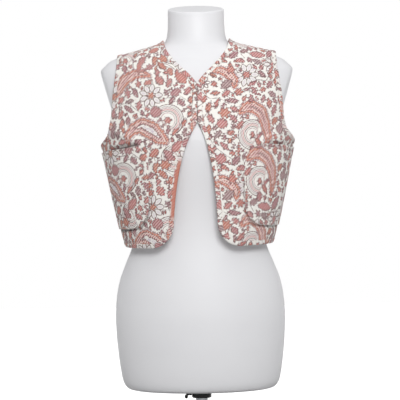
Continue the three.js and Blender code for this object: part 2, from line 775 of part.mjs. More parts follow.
function makeStand() {
  const group = new THREE.Group();
  const flangeBottom = STAND_RISE - FLANGE.thick;
  const collarBottom = flangeBottom - COLLAR.height;
  const bossTop = BASE.thick + BOSS.height;
  group.add(
    turned("base_plate", [
      [0, 0],
      [BASE.radius - CHAMFER.small, 0],
      [BASE.radius, CHAMFER.small],
      [BASE.radius, BASE.thick - BASE.edge],
      [BASE.radius - BASE.edge, BASE.thick],
      [0, BASE.thick],
    ], PALETTE.black),
    turned("pole_boss", [
      [POLE_RADIUS + SEAM_GAP, BASE.thick],
      [BOSS.radius, BASE.thick],
      [BOSS.radius, bossTop - CHAMFER.large],
      [BOSS.radius - CHAMFER.large, bossTop],
      [POLE_RADIUS + SEAM_GAP, bossTop],
      [POLE_RADIUS + SEAM_GAP, BASE.thick],
    ], PALETTE.black),
    turned("pole", [
      [0, BASE.thick],
      [POLE_RADIUS, BASE.thick],
      [POLE_RADIUS, flangeBottom],
      [0, flangeBottom],
    ], PALETTE.chrome),
    turned("socket_collar", [
      [POLE_RADIUS + SEAM_GAP, collarBottom],
      [COLLAR.radius - CHAMFER.small, collarBottom],
      [COLLAR.radius, collarBottom + CHAMFER.small],
      [COLLAR.radius, flangeBottom],
      [POLE_RADIUS + SEAM_GAP, flangeBottom],
      [POLE_RADIUS + SEAM_GAP, collarBottom],
    ], PALETTE.black),
    turned("fixing_plate", [
      [0, flangeBottom],
      [FLANGE.radius, flangeBottom],
      [FLANGE.radius, STAND_RISE],
      [0, STAND_RISE],
    ], PALETTE.black),
    makeScrew(collarBottom + COLLAR.height / 2),
  );
  return group;
}

// The clamping screw: a shank out of the collar's side with an upright grip.
function makeScrew(height) {
  const start = COLLAR.radius + SEAM_GAP;
  const length = SCREW.reach - start;
  const shank = new THREE.CylinderGeometry(SCREW.radius, SCREW.radius, length, 16);
  shank.rotateZ(QUARTER).translate(-start - length / 2, 0, 0);
  const grip = new THREE.CylinderGeometry(SCREW.gripRadius, SCREW.gripRadius, SCREW.grip, 16);
  grip.translate(-SCREW.reach, 0, SCREW.above - SCREW.grip / 2);
  const mesh = meshOf("clamp_screw", geometryOf(solidOf(shank).add(solidOf(grip))), PALETTE.black);
  mesh.position.z = height;
  return mesh;
}

// The whole object

function makeVest() {
  const group = new THREE.Group();
  const plain = () => 0;
  const wall = () => WALL;
  const back = backSpots();
  const backGrid = clothGrid(back);
  const bind = (line, grids, ring) => clearOf(bindingGeometry(line, ring), grids);
  group.add(
    meshOf("vest_back", wallGeometry(backGrid, plain, wall), PALETTE.print),
    meshOf("binding_back_neck", bind(backNeckRun(back).reverse(), [backGrid]), PALETTE.binding),
    meshOf("binding_back_hem", bind(back[0], [backGrid]), PALETTE.binding),
  );
  for (const front of FRONTS) {
    const spots = onSide(frontSpots(front), front.side);
    const grid = clothGrid(spots);
    const edge = frontEdgeRun(spots);
    const hole = armholeRun(spots, back, front.side > 0 ? 0 : back[0].length - 1);
    const ordered = (line) => (front.side > 0 ? line : [...line].reverse());
    group.add(
      meshOf(`vest_front_${front.name}`, wallGeometry(grid, plain, wall), PALETTE.print),
      meshOf(`pocket_${front.name}`, clearOf(pocketGeometry(front), [grid]), PALETTE.print),
      meshOf(`binding_front_${front.name}`, bind(ordered(edge), [grid]), PALETTE.binding),
      meshOf(`binding_armhole_${front.name}`, bind(ordered(hole), [grid, backGrid], true), PALETTE.binding),
    );
  }
  group.add(
    meshOf("front_hook", hookGeometry(-HOOK.reach, HOOK.meet - SEAM_GAP / 2), PALETTE.black),
    meshOf("front_eye", hookGeometry(HOOK.meet + SEAM_GAP / 2, HOOK.reach), PALETTE.black),
  );
  return group;
}

const part = new THREE.Group();
part.add(makeForm(), makeStand(), makeVest());

export default part;
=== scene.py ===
"""A cropped sleeveless vest of printed cloth on a limbless dress form with a short stand.

Lengths in the tables are millimetres and heights are above the form's bottom edge, as in the
CAD model. A turn is an angle round the upright axis: 0 at the centre front, a quarter turn at
the side and a half turn at the centre back. The wearer's right is at -X.
"""
import math

import bpy
import numpy as np
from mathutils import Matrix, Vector


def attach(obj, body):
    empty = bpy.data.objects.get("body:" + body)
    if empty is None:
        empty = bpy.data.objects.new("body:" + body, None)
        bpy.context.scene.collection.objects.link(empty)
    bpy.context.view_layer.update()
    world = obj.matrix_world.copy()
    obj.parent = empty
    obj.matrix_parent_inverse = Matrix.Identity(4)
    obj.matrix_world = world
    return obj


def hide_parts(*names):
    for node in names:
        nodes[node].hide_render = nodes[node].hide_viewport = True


MM = 0.001
STAND_RISE = 118
SEAM_GAP = 0.3
# Far enough across to end at a side seam, and how near in turn a binding comes to it.
TO_SEAM = 1e6
SEAM_TURN = 0.002
WALL = 1.4
LEAN = 0.015
QUARTER = math.pi / 2

NECK_CAP = {"height": 738.5, "tilt": math.radians(14), "round": 2.5, "start": 720, "shape": 730.0}
ARM_PLATE = {"half": 186.5, "height": 616, "slope": 0.3, "bottom": 482, "forward": 0.09, "round": 4}

EASE = {"up": 4.5, "out": 1.3, "depth": 3.5}
HEM = {"front": 279, "side": 282, "back": 277}
ARMPIT_HEIGHT = 478.5
SHOULDER = {"neck": 64, "tip": 152}
V_BOTTOM = 587
HOOK_POINT = 512
CORNER = {"across": 42, "up": 46}
BINDING = {"thick": 0.8, "gap": 0.6}
POCKET = {
    "thick": 1.2, "gap": 0.8, "bottom": 315, "mouth_side": 463, "mouth_inner": 470, "bulge": 2.6,
    "round": 40, "flare": 30,
}

# height, half width, reach to the front, reach to the back
FORM_LEVELS = np.array([
    (0, 134, 88, 100), (2, 141, 94, 107), (7, 147, 98, 112), (16, 152, 101, 116),
    (35, 156, 104, 120), (65, 160, 106.5, 124), (102, 163.5, 109, 127), (140, 165, 110, 127.5),
    (182, 162, 107, 121), (212, 156, 103, 112), (242, 145, 98, 100), (277, 131, 92, 88),
    (302, 125, 90, 82), (322, 122.5, 90, 80), (347, 124, 92, 80), (382, 131, 98, 83),
    (422, 140, 108, 89), (458, 146, 117, 94), (482, 147, 121, 97), (492, 151, 121, 98),
    (507, 162, 119, 99.5), (522, 173, 116.5, 101), (537, 181, 112.5, 102), (557, 187, 106.5, 102),
    (582, 191, 97.5, 100), (602, 193, 88.5, 96.5), (614, 191, 82, 93), (622, 186, 77.5, 90),
    (630, 178, 73, 86), (638, 169, 69, 82), (643.5, 157, 65.5, 77.5), (648.5, 139, 62.5, 73.5),
    (653.5, 119, 59.5, 70), (658.5, 99, 57, 66.5), (663, 83, 54.5, 63.5), (667.5, 69, 52.5, 61),
    (674.5, 61.5, 50.5, 58.5), (683.5, 57.5, 48.5, 56.5), (697, 55.5, 47, 55), (720, 54.6, 46, 54.5),
    (775, 54.6, 46, 54.5),
])

# The cloth hangs free of the form up to here, and follows its shoulders above.
HANGING_LEVELS = np.array([
    (262, 136, 117, 99.5), (277, 139.5, 118, 100), (292, 146, 119, 100.5), (316, 152, 120, 101),
    (351, 159, 121.5, 102), (406, 170, 123.5, 103), (444, 178, 125.5, 104),
    (479, 186.5, 126, 104.5), (500, 189.5, 124.5, 105), (522, 191, 121, 105.5),
    (552, 192.5, 111.5, 106), (579, 194.5, 102.5, 104.5),
])
FOLLOWS_FORM_FROM = 600
LIFT = np.array([EASE["up"], EASE["out"], EASE["depth"], EASE["depth"]])
VEST_LEVELS = np.vstack([HANGING_LEVELS, FORM_LEVELS[FORM_LEVELS[:, 0] > FOLLOWS_FORM_FROM] + LIFT])
HALF, FRONT, BACK = 1, 2, 3

# How far each front swings out below the hook, over what drop.
FRONTS = (
    {"name": "right", "side": -1, "swing": 52, "drop": 82, "pocket": 92, "mouth": 110},
    {"name": "left", "side": 1, "swing": 37, "drop": 72, "pocket": 85, "mouth": 122},
)

# Distance from the centre line and height, seen from the front.
NECKLINE = ((13.7, 602.4), (32.3, 621), (51.8, 643.6), (60.5, 660))
FRONT_ARMHOLE = (
    (183.5, 481), (169.5, 497), (163.8, 519), (161.4, 548.5), (159, 575), (153.5, 615), (151.5, 638),
)
BACK_ARMHOLE = (
    (183, 482), (167, 499), (156, 524), (150.5, 555), (149.5, 590), (151, 620), (151.5, 640),
)
BACK_NECK = ((0, 658), (25, 659), (47, 663), (59, 669))

# The large folds of the cloth: where each runs, how high it lifts and how wide it is.
FOLDS = {
    "front": (
        ((-166, 512), (-104, 474), 5, 13), ((-74, 452), (-86, 300), 3, 20),
        ((118, 474), (176, 487), 5, 10), ((70, 440), (84, 300), 3, 18), ((150, 560), (112, 520), 3, 14),
    ),
    "back": (
        ((-62, 540), (-74, 290), 4, 20), ((48, 520), (66, 285), 3.5, 24),
        ((-150, 520), (-112, 420), 3.5, 16), ((152, 530), (120, 440), 4, 15),
    ),
}

# Folds die out this near to the side seams.
SIDE_FADE = 25

# Mesh steps, as in the CAD model but finer by these factors.
FINE = 8
STEPS = {"corner": 3, "edge": 13, "closure": 5, "neckline": 10, "side": 14}
FRONT_ACROSS = 150
BACK_FINE = 7
BACK_STEPS = {"armhole": 15, "neck": 7, "shoulder": 7}
POCKET_STEPS = {"across": 84, "up": 112}


# Curves and surfaces


def read(levels, column, height):
    """One column of a table at a height, as a curve that never overshoots its rows."""
    at, value = levels[:, 0], levels[:, column]
    secant = np.diff(value) / np.diff(at)
    before, after = secant[:-1], secant[1:]
    both = np.where(np.abs(before + after) < 1e-12, 1, before + after)
    middle = np.where(before * after > 0, 2 * before * after / both, 0)
    slope = np.concatenate([secant[:1], middle, secant[-1:]])
    x = np.clip(height, at[0], at[-1])
    k = np.clip(np.searchsorted(at, x, side="right") - 1, 0, len(at) - 2)
    span = at[k + 1] - at[k]
    t = (x - at[k]) / span
    ends = (1 + 2 * t) * (1 - t) ** 2 * value[k] + t * t * (3 - 2 * t) * value[k + 1]
    return ends + span * (t * (1 - t) ** 2 * slope[k] - t * t * (1 - t) * slope[k + 1])


def vest_half(height):
    return read(VEST_LEVELS, HALF, height)


def ridge_height(across):
    """Height of the cloth's shoulder ridge at a distance from the centre line."""
    low, high = FOLLOWS_FORM_FROM + 10, 700
    for _ in range(50):
        middle = (low + high) / 2
        if vest_half(middle) > across:
            low = middle
        else:
            high = middle
    return low


def section_point(levels, turn, height):
    ahead = np.cos(turn) >= 0
    depth = np.where(ahead, read(levels, FRONT, height), read(levels, BACK, height))
    half = read(levels, HALF, height)
    return np.stack([half * np.sin(turn), -depth * np.cos(turn), height + 0 * turn], axis=-1)


def beside(point, start, end, spread):
    """How far along a line points lie, from 0 to 1, and how far from it in spreads."""
    run = np.subtract(end, start)
    way = point[..., [0, 2]] - np.array(start)
    share = np.clip(way @ run / (run @ run), 0, 1)
    return share, np.linalg.norm(way - share[..., None] * run, axis=-1) / spread


def ridge_lift(point, tables):
    """How far soft ridges lift the cloth at points."""
    lift = np.zeros(point.shape[:-1])
    ahead = point[..., 1] < 0
    fade = np.minimum(1, np.abs(point[..., 1]) / SIDE_FADE)
    for on, here in (("front", ahead), ("back", ~ahead)):
        for start, end, rise, spread in (row for table in tables for row in table.get(on, ())):
            share, away = beside(point, start, end, spread)
            bump = rise * fade * np.sin(np.pi * (0.15 + 0.7 * share)) * np.exp(-away * away)
            lift += np.where(here, bump, 0)
    return lift


def unit(vector):
    return vector / np.maximum(np.linalg.norm(vector, axis=-1, keepdims=True), 1e-9)


def plain_point(turn, height):
    return section_point(VEST_LEVELS, turn, height)


def slopes(turn, height):
    """How the plain surface moves per radian of turn and per millimetre of height, and its normal."""
    around = (plain_point(turn + 0.005, height) - plain_point(turn - 0.005, height)) * 100
    upward = plain_point(turn, height + 0.5) - plain_point(turn, height - 0.5)
    return around, upward, unit(np.cross(around, upward))


def cloth(turn, height, tables=None):
    """Points of the cloth's inner face, with their outward normals."""
    turn, height = np.asarray(turn, float), np.asarray(height, float)
    point = plain_point(turn, height)
    normal = slopes(turn, height)[-1]
    point = point + normal * ridge_lift(point, tables or (FOLDS, CREASES))[..., None]
    point[..., 2] += LEAN * point[..., 0] + STAND_RISE
    return point, normal


def turn_at(across, height):
    depth = read(VEST_LEVELS, FRONT, height)
    limit = QUARTER - SEAM_GAP / 2 / depth
    return np.minimum(np.arcsin(np.minimum(1, across / vest_half(height))), limit)


def through(points, fine=240):
    """A smooth curve through points, as many small steps."""
    known = np.array(points, float)
    p = np.vstack([2 * known[0] - known[1], known, 2 * known[-1] - known[-2]])
    last = len(known) - 1
    out = []
    for t in np.linspace(0, last, fine + 1):
        k = min(int(t), last - 1)
        w = t - k
        a, b, c, d = p[k : k + 4]
        first, middle, final = (math.sqrt(np.linalg.norm(q - r)) for q, r in ((b, a), (c, b), (d, c)))
        leave = ((b - a) / first - (c - a) / (first + middle) + (c - b) / middle) * middle
        reach = ((c - b) / middle - (d - b) / (middle + final) + (d - c) / final) * middle
        square = 3 * (c - b) - 2 * leave - reach
        cube = 2 * (b - c) + leave + reach
        out.append(b + leave * w + square * w * w + cube * w**3)
    return np.array(out)


def length_along(points):
    return np.concatenate([[0], np.cumsum(np.linalg.norm(np.diff(points, axis=0), axis=1))])


def even_steps(spots, steps):
    """Spots, each a turn and a height, at equal steps along the cloth."""
    length = length_along(plain_point(spots[:, 0], spots[:, 1]))
    wanted = np.linspace(0, length[-1], steps + 1)
    return np.stack([np.interp(wanted, length, spots[:, n]) for n in (0, 1)], axis=1)


def as_spots(across, height):
    across, height = np.broadcast_arrays(np.asarray(across, float), np.asarray(height, float))
    return np.stack([turn_at(across, height), height], axis=-1)


def cloth_curve(points, steps):
    fine = through(points)
    return even_steps(as_spots(fine[:, 0], fine[:, 1]), steps)


def chained(*lines):
    return np.vstack([lines[0]] + [line[1:] for line in lines[1:]])


# Outlines of the pieces, as spots

CLOSED_EDGE = SEAM_GAP / 2 + BINDING["thick"] + BINDING["gap"]


def front_edge_across(front, height):
    below = np.maximum(0, HOOK_POINT - height)
    return CLOSED_EDGE + front["swing"] * (1 - np.exp(-below / front["drop"]))


def corner_spots(front, angle):
    top = HEM["front"] + CORNER["up"]
    across = front_edge_across(front, top) + CORNER["across"] * (1 - np.cos(angle))
    return as_spots(across, top - CORNER["up"] * np.sin(angle))


def front_edge_line(front):
    top = HEM["front"] + CORNER["up"]
    corner = corner_spots(front, QUARTER / 2 * (1 - np.linspace(0, 1, STEPS["corner"] * FINE + 1)))
    height = np.linspace(top, HOOK_POINT, STEPS["edge"] * FINE + 1)
    opening = as_spots(front_edge_across(front, height), height)
    closed = as_spots(CLOSED_EDGE, np.linspace(HOOK_POINT, V_BOTTOM, STEPS["closure"] * FINE + 1))
    neck_point = (SHOULDER["neck"], ridge_height(SHOULDER["neck"]))
    neckline = cloth_curve(((CLOSED_EDGE, V_BOTTOM), *NECKLINE, neck_point), STEPS["neckline"] * FINE)
    return chained(corner, opening, closed, neckline)


def side_line(armhole, side_steps, armhole_steps):
    height = np.linspace(HEM["side"], ARMPIT_HEIGHT, side_steps + 1)
    seam = as_spots(TO_SEAM, height)
    armpit = (vest_half(ARMPIT_HEIGHT), ARMPIT_HEIGHT)
    tip = (SHOULDER["tip"], ridge_height(SHOULDER["tip"]))
    return chained(seam, cloth_curve((armpit, *armhole, tip), armhole_steps))


def front_hem_line(front):
    t = np.linspace(0, 1, 61)
    corner = corner_spots(front, QUARTER / 2 * (1 + t))
    end = as_spots(TO_SEAM, HEM["side"])
    turn = corner[-1, 0] + (end[0] - corner[-1, 0]) * t
    height = corner[-1, 1] + (end[1] - corner[-1, 1]) * t * t
    return even_steps(chained(corner, np.stack([turn, height], axis=1)), FRONT_ACROSS)


def front_spots(front):
    edge = front_edge_line(front)
    rows = len(edge) - 1
    side = side_line(FRONT_ARMHOLE, STEPS["side"] * FINE, rows - STEPS["side"] * FINE)
    hem = front_hem_line(front)
    share = np.linspace(0, 1, len(hem))[None, :, None]
    plain = edge[:, None] * (1 - share) + side[:, None] * share
    straight = hem[0] * (1 - share[0]) + hem[-1] * share[0]
    pull = np.maximum(0, 1 - np.arange(rows + 1) / (6 * FINE)) ** 2
    return plain + pull[:, None, None] * (hem - straight)[None]


def back_top_line():
    neck_point = (SHOULDER["neck"], ridge_height(SHOULDER["neck"]))
    neck = cloth_curve((*BACK_NECK, neck_point), BACK_STEPS["neck"] * BACK_FINE)
    across = np.linspace(SHOULDER["neck"], SHOULDER["tip"], BACK_STEPS["shoulder"] * BACK_FINE + 1)
    heights = np.array([ridge_height(x) for x in across])
    return chained(neck, as_spots(across, heights))


def back_spots():
    side_steps = STEPS["side"] * BACK_FINE
    arm_steps = BACK_STEPS["armhole"] * BACK_FINE
    side = side_line(BACK_ARMHOLE, side_steps, arm_steps)
    top = back_top_line()
    rows = np.arange(len(side))[:, None]
    share = np.linspace(0, 1, len(top))[None]
    climb = np.maximum(0, (rows - side_steps) / arm_steps)
    at_hem = (1 - rows / (len(side) - 1)) ** 4
    rise = climb**1.5 * (top[:, 1] - top[-1, 1]) - at_hem * (HEM["side"] - HEM["back"]) * (1 - share**2)
    even = np.where(climb > 0, ARMPIT_HEIGHT + (top[-1, 1] - ARMPIT_HEIGHT) * climb, side[:, 1:])
    level = side[:, 1:] + (even - side[:, 1:]) * (1 - share**2) * (1 - climb**2)
    height = level + rise
    wide = vest_half(side[:, 1:]) * np.sin(side[:, :1])
    hanging = vest_half(height) * np.sin(side[:, :1] * share)
    shaped = wide * vest_half(top[:, 1]) * np.sin(top[:, 0]) / SHOULDER["tip"]
    ease = climb * climb * (3 - 2 * climb)
    across = hanging * (1 - ease) + shaped * ease
    turn = turn_at(across, height)
    turn[:, -1] = side[:, 0]
    half = np.stack([turn, height], axis=-1)
    half[-1] = top
    right = half.copy()
    right[..., 0] = math.pi - half[..., 0]
    left = half[:, 1:].copy()
    left[..., 0] += math.pi
    return np.concatenate([right[:, ::-1], left], axis=1)


def pocket_spots(front):
    row = np.linspace(0, 1, POCKET_STEPS["up"] + 1)[:, None]
    eased = np.sin(QUARTER * row) ** 2 * 0.35 + row * 0.65
    level = POCKET["bottom"] + (POCKET["mouth_inner"] - POCKET["bottom"]) * eased
    up, down = level - POCKET["bottom"], POCKET["mouth_inner"] - level
    short = 1 - np.minimum(up, POCKET["round"]) / POCKET["round"]
    low = 1 - np.sqrt(np.maximum(0, 1 - short**2))
    high = np.where(down < POCKET["flare"], (1 - down / POCKET["flare"]) ** 2, 0)
    inner = front["pocket"] + POCKET["round"] * low + (front["mouth"] - front["pocket"]) * high
    t = np.linspace(0, 1, POCKET_STEPS["across"] + 1)[None]
    start, end = turn_at(inner, level), turn_at(np.full_like(level, TO_SEAM), level)
    slant = (POCKET["mouth_inner"] - POCKET["mouth_side"]) * t * eased**3
    return np.stack([start + (end - start) * t, level - slant], axis=-1)


def on_side(spots, side):
    return spots * np.array([side, 1])


# Small creases, placed like the large folds.
CREASES = {
    "front": (
        ((-163, 500), (-118, 486), 1.6, 4.5), ((-150, 470), (-96, 466), 1.4, 4),
        ((-158, 458), (-128, 430), 1.2, 6), ((-50, 396), (-62, 330), 1.3, 9),
        ((-108, 540), (-72, 498), 1.2, 8), ((-34, 560), (-22, 500), 0.8, 6),
        ((-120, 620), (-84, 584), 1.0, 8), ((126, 482), (170, 494), 1.6, 4),
        ((104, 470), (150, 474), 1.4, 4.5), ((150, 452), (124, 404), 1.2, 7),
        ((46, 404), (58, 336), 1.3, 9), ((96, 556), (70, 500), 1.1, 8), ((30, 560), (20, 508), 0.8, 6),
        ((118, 622), (88, 580), 1.0, 8), ((128, 352), (100, 318), 1.2, 6),
        ((-132, 350), (-104, 316), 1.2, 6),
    ),
    "back": (
        ((-120, 610), (-40, 622), 1.3, 9), ((34, 612), (112, 604), 1.2, 8),
        ((-152, 500), (-108, 484), 1.7, 5), ((148, 506), (102, 478), 1.7, 5),
        ((-140, 470), (-96, 446), 1.2, 6), ((142, 474), (108, 452), 1.2, 6),
        ((-20, 470), (-28, 320), 1.6, 11), ((96, 440), (112, 316), 1.5, 10),
        ((-118, 400), (-128, 300), 1.4, 9), ((10, 360), (16, 290), 1.2, 9),
    ),
}

# Tucks of the panels alone, at the pockets' mouths and round their edges.
TUCKS = {
    "front": (
        ((-164, 469), (-113, 476), -4.5, 2.6), ((-160, 475), (-116, 482), 2.4, 4),
        ((127, 474), (163, 468), -3, 2.4), ((124, 479), (160, 475), 1.6, 4),
        ((-90, 452), (-89, 352), -1.2, 2.6), ((-89, 358), (-112, 314), -1.8, 2.8),
        ((-100, 316), (-160, 311), -2.4, 2.8), ((83, 452), (82, 352), -1.2, 2.6),
        ((82, 358), (106, 314), -1.8, 2.8), ((94, 316), (158, 311), -2.4, 2.8),
    ),
}

# Where the cloth tucks in so far that little light reaches it: the line, how dark and how wide.
DEEP = (
    ((-162, 466.5), (-140, 469.5), (-113, 474.5), 1.0, 2.1),
    ((130, 470.5), (150, 467.5), (162, 465.5), 0.6, 1.5),
    ((-91, 400), (-92, 345), (-98, 328), 0.3, 1.8),
    ((-98, 328), (-110, 316), (-128, 312.5), 0.6, 1.9),
    ((-128, 312.5), (-146, 312.5), (-164, 313), 0.9, 2.1),
    ((84, 400), (85, 345), (91, 328), 0.25, 1.8),
    ((91, 328), (104, 316), (122, 312.5), 0.5, 1.9),
    ((122, 312.5), (140, 312.5), (158, 313), 0.45, 1.9),
)

# Print: one repeat charted in millimetres, across from the centre front and up.
REPEAT = (340, 210)
# Leaf-like shapes of each kind: across, up, length, width, turn in degrees, tint from mauve to orange.
SHAPES = {
    "leaf": (
        (-119, 446, 17, 9, 84, 0.95), (-81, 638, 20, 11, 100, 0.9), (-131, 557, 22, 9, 8, 0.1),
        (-134, 542, 27, 11, -34, 0.3), (-105, 533, 14, 9, -60, 0.3), (-136, 520, 18, 12, 80, 0.3),
        (-158, 495, 24, 12, 70, 0.15), (-101, 463, 16, 11, 80, 0.7), (-38, 468, 31, 19, 42, 0.55),
        (-54, 451, 30, 16, -46, 0.4), (-66, 417, 26, 13, -44, 0.85), (-50, 404, 20, 14, -70, 0.85),
        (-11, 590, 19, 9, -68, 1.0), (-14, 528, 17, 9, 60, 0.7), (-25, 511, 20, 10, 64, 0.75),
        (-42, 495, 22, 10, 50, 0.75), (-150, 633, 16, 9, 20, 0.75), (-20, 426, 20, 10, 60, 0.6),
        (-152, 432, 18, 9, -60, 0.25), (-79, 433, 15, 12, 60, 1.0), (34, 566, 20, 10, 6, 0.8),
        (66, 551, 29, 11, -8, 0.3), (128, 554, 18, 10, 70, 0.35), (126, 603, 22, 11, -36, 0.25),
        (112, 618, 16, 8, -50, 0.55), (156, 590, 22, 11, 80, 0.75), (106, 584, 22, 9, 24, 0.45),
        (62, 491, 18, 11, 10, 0.75), (20, 497, 20, 13, 76, 0.9), (8, 520, 18, 9, -60, 0.7),
        (50, 466, 24, 11, -44, 0.45), (22, 447, 28, 10, -50, 0.75), (71, 438, 24, 14, 42, 0.3),
        (84, 424, 20, 12, -30, 0.45), (118, 438, 36, 17, -10, 0.5), (148, 444, 36, 17, 52, 0.35),
        (18, 470, 18, 9, 40, 0.5), (158, 470, 20, 10, -20, 0.7), (80, 634, 22, 10, 12, 0.7),
        (30, 604, 20, 9, -40, 0.9), (26, 418, 16, 8, 70, 0.9),
    ),
    "saw": (
        (-119, 573, 25, 11, -62, 0.3), (-40, 570, 26, 17, 28, 0.35), (-79, 534, 26, 21, 6, 0.4),
        (-83, 457, 25, 17, 36, 0.75), (-30, 600, 34, 19, -52, 0.7), (-71, 596, 25, 16, -56, 0.6),
        (-104, 640, 30, 12, 70, 0.5), (-148, 455, 24, 15, 30, 0.3), (-24, 444, 22, 12, -30, 0.5),
        (-110, 418, 44, 11, 86, 0.7), (56, 584, 30, 17, 40, 0.15), (144, 610, 25, 10, 60, 0.7),
        (80, 505, 24, 12, 46, 0.6), (46, 508, 25, 20, 0, 0.5), (152, 532, 27, 12, 72, 0.4),
        (77, 458, 32, 9, 86, 0.75), (43, 442, 24, 20, -10, 0.5), (166, 552, 24, 12, -70, 0.6),
    ),
    "bud": (
        (-168, 514, 18, 14, -50, 0.2), (-8, 556, 20, 18, 30, 0.8), (-57, 612, 13, 11, 10, 0.7),
        (-166, 470, 16, 12, 60, 0.35), (103, 555, 17, 15, 90, 0.4), (22, 540, 22, 16, 70, 0.85),
        (168, 500, 27, 22, 60, 0.2), (64, 416, 13, 10, 90, 0.75), (8, 432, 16, 12, 20, 0.7),
    ),
    "rosette": (
        (-104, 618, 12, 12, 0, 0.55), (-62, 644, 26, 22, 0, 0.9), (-18, 480, 11, 11, 0, 0.6),
        (-88, 483, 8, 8, 0, 0.9), (79, 568, 20, 18, 0, 0.75), (51, 528, 27, 23, 0, 0.85),
        (61, 476, 13, 13, 0, 0.95), (132, 462, 10, 10, 0, 0.8), (64, 614, 22, 20, 0, 0.75),
        (84, 402, 9, 9, 0, 0.6),
    ),
}
# Curved swooshes: points and half widths along a spine.
SWOOSHES = (
    (
        (-136, 474, 3), (-134, 490, 8), (-124, 504, 11), (-106, 509, 15), (-88, 500, 17), (-72, 486, 13),
        (-60, 478, 6),
    ),
    ((-91, 606, 4), (-104, 611, 8), (-122, 610, 10), (-140, 600, 11), (-152, 584, 10), (-160, 570, 5)),
    (
        (82, 528, 5), (92, 537, 10), (107, 539, 12), (122, 529, 12), (132, 510, 11), (137, 488, 9),
        (134, 466, 4),
    ),
    ((28, 402, 4), (44, 404, 8), (60, 396, 10), (70, 382, 9), (72, 368, 4)),
)
# Round eyes: across, up, radius, half widths of the flower in the middle, and where it opens.
EYES = (
    (-56, 517, 30, 9, 8, 225), (-140, 432, 27, 7, 9, 300), (-44, 446, 25, 4, 4, 30),
    (105, 486, 28, 6, 9, 340),
)
# Flowers with pale petals: across, up, radius, petals and tint of the heart.
FLOWERS = (
    (-88, 566, 23, 9, 0.95), (95, 602, 24, 10, 0.7), (-8, 632, 18, 8, 0.6), (150, 414, 20, 8, 0.5),
    (12, 588, 13, 7, 0.6),
)
# Thin stems and tendrils.
STEMS = (
    ((-130, 550), (-118, 540), (-104, 530), (-98, 516)),
    ((-70, 560), (-52, 560), (-40, 566), (-22, 556), (-8, 544)),
    ((-20, 590), (-36, 612), (-50, 626), (-62, 634)), ((-58, 402), (-72, 424), (-82, 446), (-80, 462)),
    ((-120, 408), (-124, 436), (-116, 462), (-100, 470)),
    ((-24, 520), (-46, 488), (-60, 474), (-58, 456)),
    ((60, 545), (40, 556), (24, 556), (12, 566), (4, 580)),
    ((100, 582), (118, 592), (134, 590), (142, 606)), ((100, 566), (104, 584), (116, 592)),
    ((20, 486), (30, 468), (48, 452), (66, 440)), ((56, 480), (70, 470), (80, 448), (92, 430)),
    ((150, 520), (158, 544), (166, 562)), ((120, 432), (138, 426), (160, 432), (168, 448)),
    ((-166, 540), (-150, 552), (-128, 552)), ((-166, 500), (-158, 478), (-150, 450)),
    ((12, 520), (22, 536), (16, 548)),
)
# Further than any shape of the print reaches.
FAR = 60.0
SAW_TEETH = {"pitch": 5.4, "deep": 2.8, "swell": 1.2}


def painted_tuck_shade(turn, height):
    """How much painted shade darkens the front panels along the deep tucks, from 0 to 1."""
    point = plain_point(turn, height)
    dark = np.zeros(turn.shape)
    for *line, depth, spread in DEEP:
        for start, end in zip(line, line[1:]):
            _, away = beside(point, start, end, spread)
            dark = np.maximum(dark, np.where(point[..., 1] < 0, depth * np.exp(-away * away), 0))
    return dark


def capsule_chain(across, up, spine):
    """Distance to a chain of discs strung close along a spine of across, up and radius."""
    spine = np.array(spine, float)
    count = max(6, 4 * len(spine))
    at = np.linspace(0, len(spine) - 1, count)
    x, y, r = (np.interp(at, np.arange(len(spine)), spine[:, n]) for n in range(3))
    best = np.full(across.shape, FAR)
    for cx, cy, radius in zip(x, y, r):
        best = np.minimum(best, np.hypot(across - cx, up - cy) - radius)
    return best


def leaf_distance(x, y, length, width):
    """Distance to a pointed oval along x."""
    share = np.clip(x / (length / 2), -1, 1)
    radius = width / 2 * (1 - share**2) ** 0.85
    beyond = np.maximum(0, np.abs(x) - length / 2)
    return np.hypot(np.maximum(np.abs(y) - radius, 0), beyond) + np.minimum(np.abs(y) - radius, 0) * 0.85


def shape_distance(name, x, y, length, width):
    if name == "leaf":
        return leaf_distance(x, y, length, width)
    if name == "saw":
        teeth = np.abs(np.sin(math.pi * x / SAW_TEETH["pitch"]))
        return leaf_distance(x, y, length, width * SAW_TEETH["swell"]) + SAW_TEETH["deep"] * (1 - teeth)
    if name == "bud":
        body = np.hypot((x + length * 0.12) / length * 2, y / width * 2) - 0.78
        tip = leaf_distance(x, y, length * 1.08, width * 0.62)
        return np.minimum(body * width / 2, tip)
    angle = np.arctan2(y, x)
    radius = np.hypot(x / length * 2, y / width * 2)
    return (radius - 0.83 - 0.17 * np.cos(6 * angle)) * min(length, width) / 2


def wrapped(value, centre, size):
    return (value - centre + size / 2) % size - size / 2


def turned(x, y, degrees):
    """Places measured along and across a direction."""
    c, s = math.cos(math.radians(degrees)), math.sin(math.radians(degrees))
    return x * c + y * s, y * c - x * s


# The ways that the small leaves between the large shapes turn, what they are and their tints.
FILL_TURNS = (40, -62, 12, 78, -28, 55, 96, -80, 25, 66, -45)
FILL_NAMES = ("saw", "saw", "rosette", "saw", "leaf", "saw", "saw", "bud")
FILL_TINTS = (0.6, 0.34, 0.7, 0.48, 0.2, 0.62, 0.4, 0.9, 0.3, 0.54, 0.7, 0.12, 0.5)
# Step of the search for gaps, the room a small leaf needs and takes, and the most that are set.
FILL = {"step": 2.5, "least": 5.2, "most": 9.5, "count": 320, "off_stem": 1.5}
FILLERS = []


